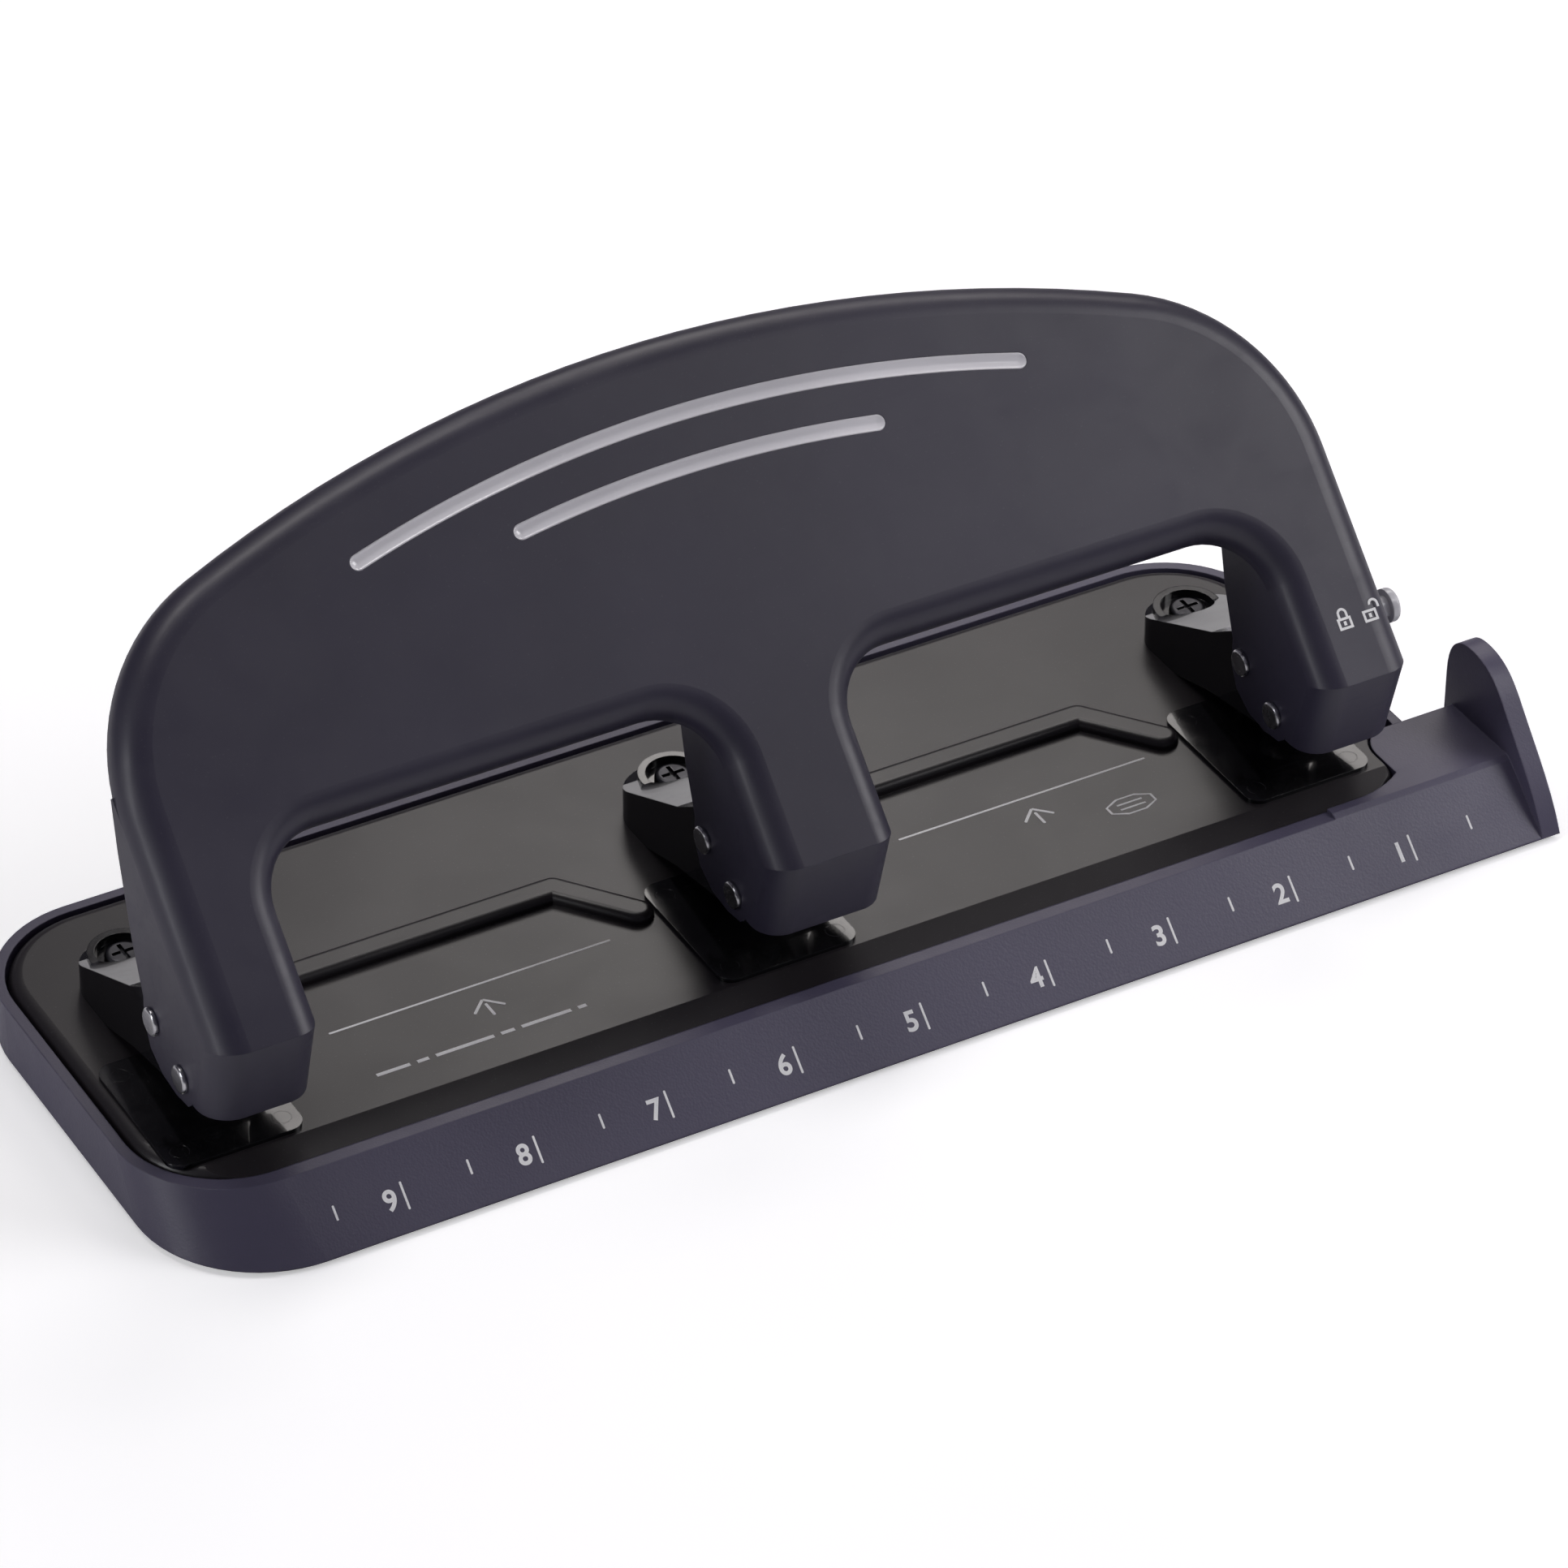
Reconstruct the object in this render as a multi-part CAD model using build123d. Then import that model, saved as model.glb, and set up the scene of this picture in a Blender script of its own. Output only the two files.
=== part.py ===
from build123d import *
import math
import os

# Three-hole paper punch. Millimetres. +X runs along the punch towards the paper stop, +Y to the back, +Z up.
# The parts are drawn with X = 0 at the middle punch and Z = 0 on the table. The finished model is then
# moved so that its origin is the bottom centre of its overall box.

# ---- driving dimensions -------------------------------------------------------------------------
HOLE_PITCH = 107.95        # 4.25 in between punched holes
STOP_X = 139.7             # 5.5 in from the middle hole to the paper stop (half of an 11 in page)

# base tray and pressed plate
TRAY_X = 129.8             # half length of the tray
TRAY_FRONT = -44.6         # bottom front edge
TRAY_BACK = 55.0           # bottom back edge
TRAY_Z0 = 1.0              # underside, above the rubber feet
RIM_FRONT = -33.0          # front edge of the rim: the ruler face slopes up to it
RIM_BACK = 54.2
RIM_X = 129.2
RIM_Z = 11.4
TRAY_R = 24.0
RIM_R = 21.0
TRAY_WALL = 2.0
TRAY_FLOOR = 2.0
PLATE_Z = 12.0             # paper platform
PLATE_T = 1.2
PLATE_GAP = 0.5            # plate edge to tray rim
PLATE_BREAK_Y = -24.0      # the platform's front edge, where the plate slopes down
PLATE_SKIRT = 4.5
BEAD_Y = 15.0              # centre line of the raised bead
BEAD_W = 6.0
BEAD_H = 2.0
STOP_T = 3.8
STOP_TOP_Z = 27.0
STOP_ARM_X = 119.0         # left end of the arm that carries the stop
STOP_ARM_BACK = -13.0

# handle
LEAN = 45.0                # lean of the front panel from upright, degrees
PANEL_Y = 6.0              # a point on the outer panel face
PANEL_Z = 77.7
HANDLE_X = 118.3           # half width of the handle
ARCH_R = 265.0             # top arch
ARCH_TOP = 42.3            # apex, measured up the panel from the point above
CORNER_R = 39.0            # arch ends
WINDOW_TOP = -20.8
WINDOW_IN = 12.2           # window edges beside the middle leg and the end legs
WINDOW_OUT = 98.6
WINDOW_R = 12.0
KNEE_S = -54.0             # bottom of the flat panel
PANEL_DEPTH = 6.8          # depth of the turned-back rim
SHEET = 1.4
EDGE_R = 6.0               # rounding of the arch edge
WINDOW_EDGE_R = 5.0
FOOT_Y, FOOT_Z = -27.6, 22.4   # bottom front edge of the feet
GROOVES = ((14.7, 65.0), (23.9, 35.0))   # depth below the arch, half length
GROOVE_W = 3.0
GROOVE_DEPTH = 0.7

# punching heads
PIVOT_Y, PIVOT_Z = -16.4, 25.3
DRIVE_Y, DRIVE_Z = -5.6, 30.2
STROKE_DEG = 33.0
PIN_R = 1.5
PIN_HEAD_R = 2.6
PIN_HEAD_T = 0.8
EAR_GAP = 0.35             # ear to bracket, each side
BRACKET_T = 1.5
PUNCH_R = 3.5
PUNCH_TIP_Z = 17.7
PUNCH_TOP_Z = 33.4
RUN_CLEAR = 0.06
GUIDE_Z = 17.8
GUIDE_T = 1.4
YOKE_Z = 26.0
YOKE_T = 1.4
YOKE_FOOT_Z = 21.9
DIE_T = 0.8
DIE_FRONT, DIE_BACK = -23.4, 8.0
DIE_STOP_Y = 7.0           # paper stop behind the die
DIE_STOP_Z = 14.8
SPRING_Y = 11.2
SPRING_R = 2.2
WIRE_R = 0.28
SPRING_TURNS = 5.5
RIVET_R = 0.9
RIVET_HEAD_R = 1.7
RIVET_HEAD_T = 0.4
BOSS_R = 6.4
SCREW_Y = 28.0
SCREW_R = 1.6

# lock and chip door
LOCK_S = -41.5             # lock button, measured up the panel
LOCK_DEPTH = 10.0          # and behind it
LOCK_R = 2.0
LOCK_KNOB_R = 3.2
LOCK_TRAVEL = 3.0
DOOR_X = 96.0              # half length of the door opening
DOOR_FRONT, DOOR_BACK = -20.0, 16.0
DOOR_T = 1.6
DOOR_GAP = 0.4
HINGE_Y, HINGE_Z = 16.0, 2.4
HINGE_R = 1.2
HINGE_PIN_R = 0.8

# bottom centre of the overall box, in drawing coordinates
ORIGIN = ((STOP_X + STOP_T - TRAY_X) / 2, (TRAY_FRONT + TRAY_BACK) / 2, 0.0)

NAMES = ("left", "middle", "right")
LEG_EDGES = ((-HANDLE_X, -WINDOW_OUT), (-WINDOW_IN, WINDOW_IN), (WINDOW_OUT, HANDLE_X))
PUNCH_X = (-HOLE_PITCH, 0.0, HOLE_PITCH)
HEAD_X = tuple((left + right) / 2 for left, right in LEG_EDGES)

LEAN_RAD = math.radians(LEAN)
PANEL = Plane(origin=(0, PANEL_Y, PANEL_Z), x_dir=(1, 0, 0),
              z_dir=(0, -math.cos(LEAN_RAD), math.sin(LEAN_RAD)))

# the feet run down from the knee, and meet the panel in a mitre
KNEE_Y = PANEL_Y + KNEE_S * math.sin(LEAN_RAD)
KNEE_Z = PANEL_Z + KNEE_S * math.cos(LEAN_RAD)
FOOT_LENGTH = math.hypot(FOOT_Y - KNEE_Y, FOOT_Z - KNEE_Z)
FOOT_RAD = math.atan2(FOOT_Y - KNEE_Y, KNEE_Z - FOOT_Z)
FOOT_FACE = Plane(origin=(0, KNEE_Y, KNEE_Z), x_dir=(1, 0, 0),
                  z_dir=(0, -math.cos(FOOT_RAD), -math.sin(FOOT_RAD)))
MITRE_RAD = (LEAN_RAD - FOOT_RAD) / 2
BELOW_KNEE = Plane(origin=(0, KNEE_Y, KNEE_Z), x_dir=(1, 0, 0),
                   z_dir=(0, -math.sin(MITRE_RAD), -math.cos(MITRE_RAD)))
KNEE_HALF_RAD = (math.pi - LEAN_RAD - FOOT_RAD) / 2

# the drive pin swings about the pivot; the punch stands under the middle of that swing
ARM = math.hypot(DRIVE_Y - PIVOT_Y, DRIVE_Z - PIVOT_Z)
ARM_DEG = math.degrees(math.atan2(DRIVE_Z - PIVOT_Z, DRIVE_Y - PIVOT_Y))
PUNCH_Y = PIVOT_Y + ARM * (1 + math.cos(math.radians(ARM_DEG))) / 2
STROKE = ARM * (math.sin(math.radians(ARM_DEG)) - math.sin(math.radians(ARM_DEG - STROKE_DEG)))


# ---- helpers ------------------------------------------------------------------------------------
def panel_point(s, depth=0.0):
    """Y and Z of a point s up the panel and depth behind its outer face."""
    y = PANEL_Y + s * math.sin(LEAN_RAD) + depth * math.cos(LEAN_RAD)
    z = PANEL_Z + s * math.cos(LEAN_RAD) - depth * math.sin(LEAN_RAD)
    return y, z


def box(x0, x1, y0, y1, z0, z1):
    """Box between two corners."""
    size = Box(x1 - x0, y1 - y0, z1 - z0)
    return Pos((x0 + x1) / 2, (y0 + y1) / 2, (z0 + z1) / 2) * size


def rod_x(x0, x1, y, z, radius):
    """Round bar along X."""
    return Pos((x0 + x1) / 2, y, z) * Rot(0, 90, 0) * Cylinder(radius, x1 - x0)


def rod_z(x, y, z0, z1, radius):
    """Round bar along Z."""
    return Pos(x, y, (z0 + z1) / 2) * Cylinder(radius, z1 - z0)


def side_plate(points, x0, x1):
    """Plate with an outline in Y and Z, from x0 to x1."""
    plane = Plane(origin=(x0, 0, 0), x_dir=(0, 1, 0), z_dir=(1, 0, 0))
    outline = make_face(Polyline(*points, close=True))
    return extrude(plane * outline, amount=x1 - x0)


def rounded_outline(x0, x1, y0, y1, z, radius):
    """Rounded rectangle in a level plane."""
    shape = RectangleRounded(x1 - x0, y1 - y0, radius)
    return Pos((x0 + x1) / 2, (y0 + y1) / 2, z) * shape


def one(shape):
    """The single solid of a boolean result."""
    found = shape.solids()
    if len(found) != 1:
        raise ValueError(f"expected one solid, found {len(found)}")
    return found[0]


def plate_edge(x0, x1, y0, y1, radius, z0, z1):
    """Plain block with rounded corners."""
    return extrude(rounded_outline(x0, x1, y0, y1, z0, radius), amount=z1 - z0)


# ---- tray and plate -----------------------------------------------------------------------------
def tray_block(inset):
    """Outer block of the tray, or the hollow inside it when inset."""
    front_inset = inset * 1.4
    low = rounded_outline(-TRAY_X + inset, TRAY_X - inset, TRAY_FRONT + front_inset,
                          TRAY_BACK - inset, TRAY_Z0, TRAY_R - inset)
    high = rounded_outline(-RIM_X + inset, RIM_X - inset, RIM_FRONT + front_inset,
                           RIM_BACK - inset, RIM_Z, RIM_R - inset)
    return loft([low, high], ruled=True)


def stop_arm():
    """Solid arm that carries the paper stop past the tray's right end."""
    profile = [(TRAY_FRONT, TRAY_Z0), (RIM_FRONT, RIM_Z), (RIM_FRONT + 1.2, PLATE_Z),
               (STOP_ARM_BACK - 1.0, PLATE_Z), (STOP_ARM_BACK, PLATE_Z - 1.0), (STOP_ARM_BACK, TRAY_Z0)]
    arm = side_plate(profile, STOP_ARM_X - 17.0, STOP_X + STOP_T)
    return arm - plate_footprint(-PLATE_GAP)


def plate_footprint(inset):
    """Block over the plate's outline. The front right corner is left out, beside the paper stop's arm."""
    x, front, back, radius = plate_outline(inset)
    block = plate_edge(-x, x, front, back, radius, PLATE_Z - PLATE_SKIRT - 0.5, 30)
    step = STOP_ARM_X - PLATE_GAP - inset
    return block - plate_edge(step, 170, -80, STOP_ARM_BACK + PLATE_GAP + inset, 8.0 + inset, 0, 40)


def plate_outline(inset):
    """Half length, front, back and corner radius of the plate."""
    x = RIM_X - TRAY_WALL - PLATE_GAP - inset
    front = RIM_FRONT + TRAY_WALL * 1.4 + PLATE_GAP + inset
    back = RIM_BACK - TRAY_WALL - PLATE_GAP - inset
    return x, front, back, RIM_R - TRAY_WALL - PLATE_GAP - inset


def paper_stop():
    """Upright fin at the end of the arm, rounded on top and swept down to the front."""
    back_y = -11.5
    peak = (-18.5, STOP_TOP_Z)
    sides = Polyline((TRAY_FRONT, TRAY_Z0), (back_y, TRAY_Z0), (back_y, 18.0))
    crown = Spline((back_y, 18.0), peak, tangents=[(0, 1), (-1, 0)])
    sweep_down = Spline(peak, (-31.0, 19.5), (TRAY_FRONT, TRAY_Z0), tangents=[(-1, 0), (-0.45, -1)])
    face = make_face(Curve() + [sides, crown, sweep_down])
    plane = Plane(origin=(STOP_X, 0, 0), x_dir=(0, 1, 0), z_dir=(1, 0, 0))
    return extrude(plane * face, amount=STOP_T)


def build_tray():
    shell = tray_block(0)
    inner = tray_block(TRAY_WALL)
    inner -= box(-200, 200, -100, 100, 0, TRAY_Z0 + TRAY_FLOOR)
    shell -= inner
    shell += stop_arm()
    shell += paper_stop()
    for x in HEAD_X:
        shell += rod_z(x, SCREW_Y, TRAY_Z0 + 1, PLATE_Z - PLATE_T, 3.6)
        shell -= rod_z(x, SCREW_Y, 5.0, 20.0, SCREW_R)
    shell -= box(-DOOR_X, DOOR_X, DOOR_FRONT, HINGE_Y + HINGE_R + DOOR_GAP, 0, TRAY_Z0 + TRAY_FLOOR + 0.5)
    for side in (-1, 1):
        lug_x = side * (DOOR_X + 2.0)
        lug = box(lug_x - 2.0, lug_x + 2.0, HINGE_Y - 3, HINGE_Y + 3, TRAY_Z0 + 1, 5.0)
        shell += lug
    shell -= rod_x(-DOOR_X - 3.2, DOOR_X + 3.2, HINGE_Y, HINGE_Z, HINGE_PIN_R + RUN_CLEAR)
    return one(shell)


def build_chip_door():
    """Flap in the tray's floor, hinged along its back edge."""
    x = DOOR_X - DOOR_GAP
    z0 = TRAY_Z0 + 0.4
    door = box(-x, x, DOOR_FRONT + DOOR_GAP, HINGE_Y, z0, z0 + DOOR_T)
    door += rod_x(-x, x, HINGE_Y, HINGE_Z, HINGE_R)
    door += rod_x(-DOOR_X - 3.0, DOOR_X + 3.0, HINGE_Y, HINGE_Z, HINGE_PIN_R)
    tab_y = DOOR_FRONT + DOOR_GAP
    door += box(-12, 12, tab_y, tab_y + 1.6, z0 + DOOR_T, z0 + DOOR_T + 3.0)
    for rib_x in (-64, -32, 32, 64):
        door += box(rib_x - 0.6, rib_x + 0.6, tab_y + 3, HINGE_Y - 2, z0 + DOOR_T, z0 + DOOR_T + 1.5)
    return one(door)


def build_rubber_feet():
    feet = []
    for x in (-114.0, 114.0):
        for y in (-30.0, 40.0):
            pad = rod_z(x, y, 0, TRAY_Z0, 5.5)
            feet.append(one(fillet(pad.edges().group_by(Axis.Z)[0], 0.4)))
    return Compound(feet)


def bead(x0, x1):
    """Raised bead: straight along X, then turning forward beside the next head."""
    turn_x = x1 - 10.0
    turn_y = 2.0
    run = math.hypot(x1 - turn_x, turn_y - BEAD_Y)
    angle = math.degrees(math.atan2(turn_y - BEAD_Y, x1 - turn_x))
    straight = Pos((x0 + turn_x) / 2, BEAD_Y, PLATE_Z) * SlotCenterToCenter(turn_x - x0, BEAD_W)
    slanted = Pos((x1 + turn_x) / 2, (BEAD_Y + turn_y) / 2, PLATE_Z) * Rot(0, 0, angle) \
        * SlotCenterToCenter(run, BEAD_W)
    parts = []
    for outline in (straight, slanted):
        bar = extrude(outline, amount=BEAD_H)
        parts.append(fillet(bar.edges().group_by(Axis.Z)[-1], BEAD_H * 0.75))
    return parts[0] + parts[1]


def plate_pan(inset, z0, top, edge_r):
    """Shallow upside-down pan: rounded corners and a rounded top edge."""
    x, front, back, radius = plate_outline(inset)
    pan = extrude(rounded_outline(-x, x, front, back, z0, radius), amount=top - z0)
    return fillet(pan.edges().group_by(Axis.Z)[-1], edge_r)


def front_slope(drop):
    """Wedge that slopes the pan's top down to its front edge."""
    points = [(-60, PLATE_Z + 5 - drop), (PLATE_BREAK_Y, PLATE_Z + 5 - drop), (PLATE_BREAK_Y, PLATE_Z - drop),
              (PLATE_BREAK_Y - 6.0, PLATE_Z - 1.7 - drop), (-60, PLATE_Z - 8.0 - drop)]
    return side_plate(points, -150, 150)


def build_base_plate():
    plate = plate_pan(0, PLATE_Z - PLATE_SKIRT, PLATE_Z, 2.6) - front_slope(0)
    plate -= plate_pan(PLATE_T, PLATE_Z - PLATE_SKIRT - 1, PLATE_Z - PLATE_T, 1.4) - front_slope(PLATE_T)
    plate &= plate_footprint(0)
    for index in (1, 2):
        plate += bead(die_span(index - 1)[1] + 5.0, die_span(index)[0] - BEAD_W / 2 - 0.5)
    for x, head_x in zip(PUNCH_X, HEAD_X):
        plate -= rod_z(x, PUNCH_Y, 0, 30, 5.0)
        plate -= rod_z(head_x, SCREW_Y, 0, 30, SCREW_R + 0.1)
    for x, y in rivet_places():
        plate -= rod_z(x, y, 0, 30, RIVET_R)
    return one(plate)


# ---- dies ---------------------------------------------------------------------------------------
def die_span(index):
    """Left and right edge of one die plate."""
    left = (-124.0, -18.0, 90.5)[index]
    right = (-98.5, 9.5, 116.5)[index]
    return left, right


def rivet_places():
    places = []
    for index in range(3):
        left, right = die_span(index)
        places.append((left + 3.2, -19.5))
        places.append((left + 3.2, 4.0))
        places.append((right - 3.2, -19.5))
    return places


def build_die_plate(index):
    left, right = die_span(index)
    die = plate_edge(left, right, DIE_FRONT, DIE_BACK, 3.0, PLATE_Z, PLATE_Z + DIE_T)
    x = PUNCH_X[index]
    die += box(x - 4.5, x + 4.5, DIE_STOP_Y, DIE_BACK, PLATE_Z, DIE_STOP_Z)
    die -= rod_z(x, PUNCH_Y, 0, 30, PUNCH_R + RUN_CLEAR)
    for rivet_x, rivet_y in rivet_places():
        if left < rivet_x < right:
            die -= rod_z(rivet_x, rivet_y, 0, 30, RIVET_R)
            die -= rod_z(rivet_x, rivet_y, PLATE_Z + DIE_T - RIVET_HEAD_T, 30, RIVET_HEAD_R)
    return one(die)


def build_die_rivets():
    rivets = []
    for x, y in rivet_places():
        top = PLATE_Z + DIE_T
        rivet = rod_z(x, y, top - RIVET_HEAD_T, top, RIVET_HEAD_R)
        rivet += rod_z(x, y, PLATE_Z - PLATE_T, top, RIVET_R)
        rivets.append(one(rivet))
    return Compound(rivets)


# ---- heads --------------------------------------------------------------------------------------
def head_span(index):
    """Outside faces of one bracket, between the handle's ears."""
    left, right = LEG_EDGES[index]
    return left + SHEET + EAR_GAP, right - SHEET - EAR_GAP


def plan_shape(x0, x1, back, z0, z1):
    """Upright block with a fully rounded back end."""
    radius = (x1 - x0) / 2
    middle = (x0 + x1) / 2
    block = box(x0, x1, -40, back - radius, z0, z1)
    return block + rod_z(middle, back - radius, z0, z1, radius)


def build_bracket(index):
    """Folded channel: two side walls, a sloping top and a rounded back with a screw boss."""
    x0, x1 = head_span(index)
    profile = [(36.0, PLATE_Z), (19.0, PLATE_Z), (7.5, 15.3), (-9.0, 18.2), (-15.5, 20.6), (-20.0, 22.4), (-21.2, 24.6),
               (-20.6, 27.4), (-17.0, 30.5), (-9.5, 35.2), (-4.0, 35.8), (1.5, 32.2), (7.4, 28.4),
               (31.0, 17.4), (36.0, 16.4)]
    back = 35.5
    body = side_plate(profile, x0, x1) & plan_shape(x0, x1, back, 0, 60)
    hollow = [(40.0, 5.0), (40.0, 12.9), (31.0, 15.7), (7.4, 26.7), (1.0, 30.4), (1.0, 60.0), (-40.0, 60.0),
              (-40.0, 5.0)]
    inside = side_plate(hollow, x0 + BRACKET_T, x1 - BRACKET_T)
    inside &= plan_shape(x0 + BRACKET_T, x1 - BRACKET_T, back - BRACKET_T, 0, 60)
    body -= inside
    middle = (x0 + x1) / 2
    boss_top = 19.2
    body += rod_z(middle, SCREW_Y, PLATE_Z, boss_top, BOSS_R)
    body -= rod_z(middle, SCREW_Y, boss_top - 1.6, boss_top + 9, BOSS_R - 1.4)
    body -= rod_z(middle, SCREW_Y, 0, 30, SCREW_R)
    if index == 2:
        body += lock_tab(x1)
    swing = slot_cut(x0 - 1, x1 + 1)
    body -= swing
    body -= rod_x(x0 - 1, x1 + 1, PIVOT_Y, PIVOT_Z, PIN_R)
    return one(body)


def slot_cut(x0, x1):
    """Upright slot in which the drive pin swings."""
    half = PIN_R + ARM * (1 - math.cos(math.radians(ARM_DEG))) / 2 + 0.25
    low = DRIVE_Z - STROKE - PIN_R - 0.4
    high = DRIVE_Z + PIN_R + 0.4
    slot = box(x0, x1, PUNCH_Y - half, PUNCH_Y + half, low + half, high - half)
    for z in (low + half, high - half):
        slot += rod_x(x0, x1, PUNCH_Y, z, half)
    return slot


def lock_place(pressed):
    """Y and Z of the lock button with the handle up or pressed down."""
    y, z = panel_point(LOCK_S, LOCK_DEPTH)
    if not pressed:
        return y, z
    turn = math.radians(-STROKE_DEG)
    dy, dz = y - PIVOT_Y, z - PIVOT_Z
    new_y = PIVOT_Y + dy * math.cos(turn) - dz * math.sin(turn)
    new_z = PIVOT_Z + dy * math.sin(turn) + dz * math.cos(turn)
    return new_y, new_z


def lock_tab(x1):
    """Tab on the right bracket with the hole that the lock button enters."""
    y, z = lock_place(True)
    tab = rod_x(x1 - BRACKET_T, x1, y, z, LOCK_R + 1.3)
    tab += box(x1 - BRACKET_T, x1, y - LOCK_R - 1.3, y + LOCK_R + 1.3, 30.0, z)
    return tab - rod_x(x1 - 5, x1 + 5, y, z, LOCK_R + 0.12)


def build_bracket_screws():
    screws = []
    for x in HEAD_X:
        screw = rod_z(x, SCREW_Y, 17.6, 19.0, 3.4)
        screw = fillet(screw.edges().group_by(Axis.Z)[-1], 0.9)
        screw += rod_z(x, SCREW_Y, 5.2, 17.6, SCREW_R)
        screw -= box(x - 2.2, x + 2.2, SCREW_Y - 0.4, SCREW_Y + 0.4, 18.2, 20)
        screw -= box(x - 0.4, x + 0.4, SCREW_Y - 2.2, SCREW_Y + 2.2, 18.2, 20)
        screws.append(one(screw))
    return Compound(screws)


def build_punch_guide(index):
    """Stripper plate that guides the punch and pushes the paper off it."""
    x0, x1 = head_span(index)
    guide = box(x0 + BRACKET_T, x1 - BRACKET_T, -10.5, 1.5, GUIDE_Z, GUIDE_Z + GUIDE_T)
    guide += rod_z(PUNCH_X[index], PUNCH_Y, GUIDE_Z, GUIDE_Z + GUIDE_T, 5.0)
    return one(guide - rod_z(PUNCH_X[index], PUNCH_Y, 0, 30, PUNCH_R + RUN_CLEAR))


def build_punch(index):
    x = PUNCH_X[index]
    punch = rod_z(x, PUNCH_Y, PUNCH_TIP_Z, PUNCH_TOP_Z, PUNCH_R)
    punch = chamfer(punch.edges().group_by(Axis.Z)[-1], 0.5)
    tip_cut = Pos(x, PUNCH_Y, PUNCH_TIP_Z - 3.4) * Rot(90, 0, 0) * Cylinder(4.6, 20)
    punch -= tip_cut
    half = PIN_R + ARM * (1 - math.cos(math.radians(ARM_DEG))) / 2 + 0.1
    height = PIN_R + 0.16
    punch -= box(x - 5, x + 5, PUNCH_Y - half, PUNCH_Y + half, DRIVE_Z - height, DRIVE_Z + height)
    return one(punch)


def build_yoke(index):
    """Stepped arm on the punch that presses on the return spring."""
    x = PUNCH_X[index]
    profile = [(-9.6, YOKE_Z), (4.2, YOKE_Z), (4.2, YOKE_FOOT_Z), (13.4, YOKE_FOOT_Z),
               (13.4, YOKE_FOOT_Z + YOKE_T), (5.6, YOKE_FOOT_Z + YOKE_T), (5.6, YOKE_Z + YOKE_T),
               (-9.6, YOKE_Z + YOKE_T)]
    yoke = side_plate(profile, x - 4.8, x + 4.8)
    return one(yoke - rod_z(x, PUNCH_Y, 0, 60, PUNCH_R))


def build_spring(index):
    x = PUNCH_X[index]
    low = PLATE_Z + WIRE_R
    height = YOKE_FOOT_Z - PLATE_Z - 2 * WIRE_R
    coil = Helix(pitch=height / SPRING_TURNS, height=height, radius=SPRING_R)
    start = coil.position_at(0)
    section = Plane(origin=start, z_dir=coil.tangent_at(0)) * Circle(WIRE_R)
    return Pos(x, SPRING_Y, low) * one(sweep(section, path=coil))


def build_pin(index, y, z):
    """Steel cross pin with a head on its left end."""
    left, right = LEG_EDGES[index]
    pin = rod_x(left - PIN_HEAD_T - 0.1, right + 1.6, y, z, PIN_R)
    head = rod_x(left - PIN_HEAD_T - 0.1, left - 0.1, y, z, PIN_HEAD_R)
    head = fillet(head.edges().group_by(Axis.X)[0], 0.5)
    return one(pin + head)


def build_clips(y, z):
    """Retaining rings on the right ends of the cross pins."""
    clips = []
    for left, right in LEG_EDGES:
        ring = rod_x(right + 0.2, right + 1.0, y, z, 3.0) - rod_x(right, right + 2, y, z, PIN_R)
        clips.append(one(ring - box(right, right + 2, y - 0.9, y + 0.9, z - 5, z - 1)))
    return Compound(clips)


# ---- handle -------------------------------------------------------------------------------------
def handle_outline(inset, low):
    """Arch outline on the panel: upright sides, round corners and a wide top arc."""
    half = HANDLE_X - inset
    top_r = ARCH_R - inset
    corner_r = CORNER_R - inset
    arc_y = ARCH_TOP - ARCH_R
    corner_x = HANDLE_X - CORNER_R
    corner_y = arc_y + math.sqrt((ARCH_R - CORNER_R) ** 2 - corner_x ** 2)
    reach = top_r / (ARCH_R - CORNER_R)
    join = (corner_x * reach, arc_y + (corner_y - arc_y) * reach)
    mid = math.radians(35.0)
    corner_mid = (corner_x + corner_r * math.cos(mid), corner_y + corner_r * math.sin(mid))
    lines = [
        Line((half, low), (half, corner_y)),
        ThreePointArc((half, corner_y), corner_mid, join),
        ThreePointArc(join, (0, ARCH_TOP - inset), (-join[0], join[1])),
        ThreePointArc((-join[0], join[1]), (-corner_mid[0], corner_mid[1]), (-half, corner_y)),
        Line((-half, corner_y), (-half, low)),
        Line((-half, low), (half, low)),
    ]
    return make_face(Curve() + lines)


def window_outline(side, grow):
    """Window between two legs, open at the bottom."""
    x0 = WINDOW_IN - grow
    x1 = WINDOW_OUT + grow
    top = WINDOW_TOP + grow
    low = KNEE_S - 30
    radius = WINDOW_R + grow
    shape = Pos((x0 + x1) / 2, (top + low) / 2) * RectangleRounded(x1 - x0, top - low, radius)
    return shape if side > 0 else mirror(shape, about=Plane.YZ)


def handle_block(inset, front, back, low, edge_r, window_r):
    """Solid under the panel between two depths, with its front edges rounded."""
    face = handle_outline(inset, low)
    for side in (-1, 1):
        face -= window_outline(side, inset)
    block = extrude(Pos(0, 0, -front) * face, amount=front - back)
    front_edges = block.edges().group_by(Axis.Z)[-1]
    bottom = low + 0.01
    edges = [e for e in front_edges if e.center().Y > bottom]
    outer = [e for e in edges if is_outer(e, inset)]
    inner = [e for e in edges if not is_outer(e, inset)]
    block = fillet(outer, edge_r)
    again = [e for e in block.edges() if any((e.center() - k.center()).length < 1e-3 for k in inner)]
    return fillet(again, window_r)


def is_outer(edge, inset):
    """True for the edges of the arch and the outside of the end legs."""
    point = edge.center()
    if abs(point.X) > HANDLE_X - inset - 0.01:
        return True
    return point.Y > WINDOW_TOP + inset + 5.0


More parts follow.
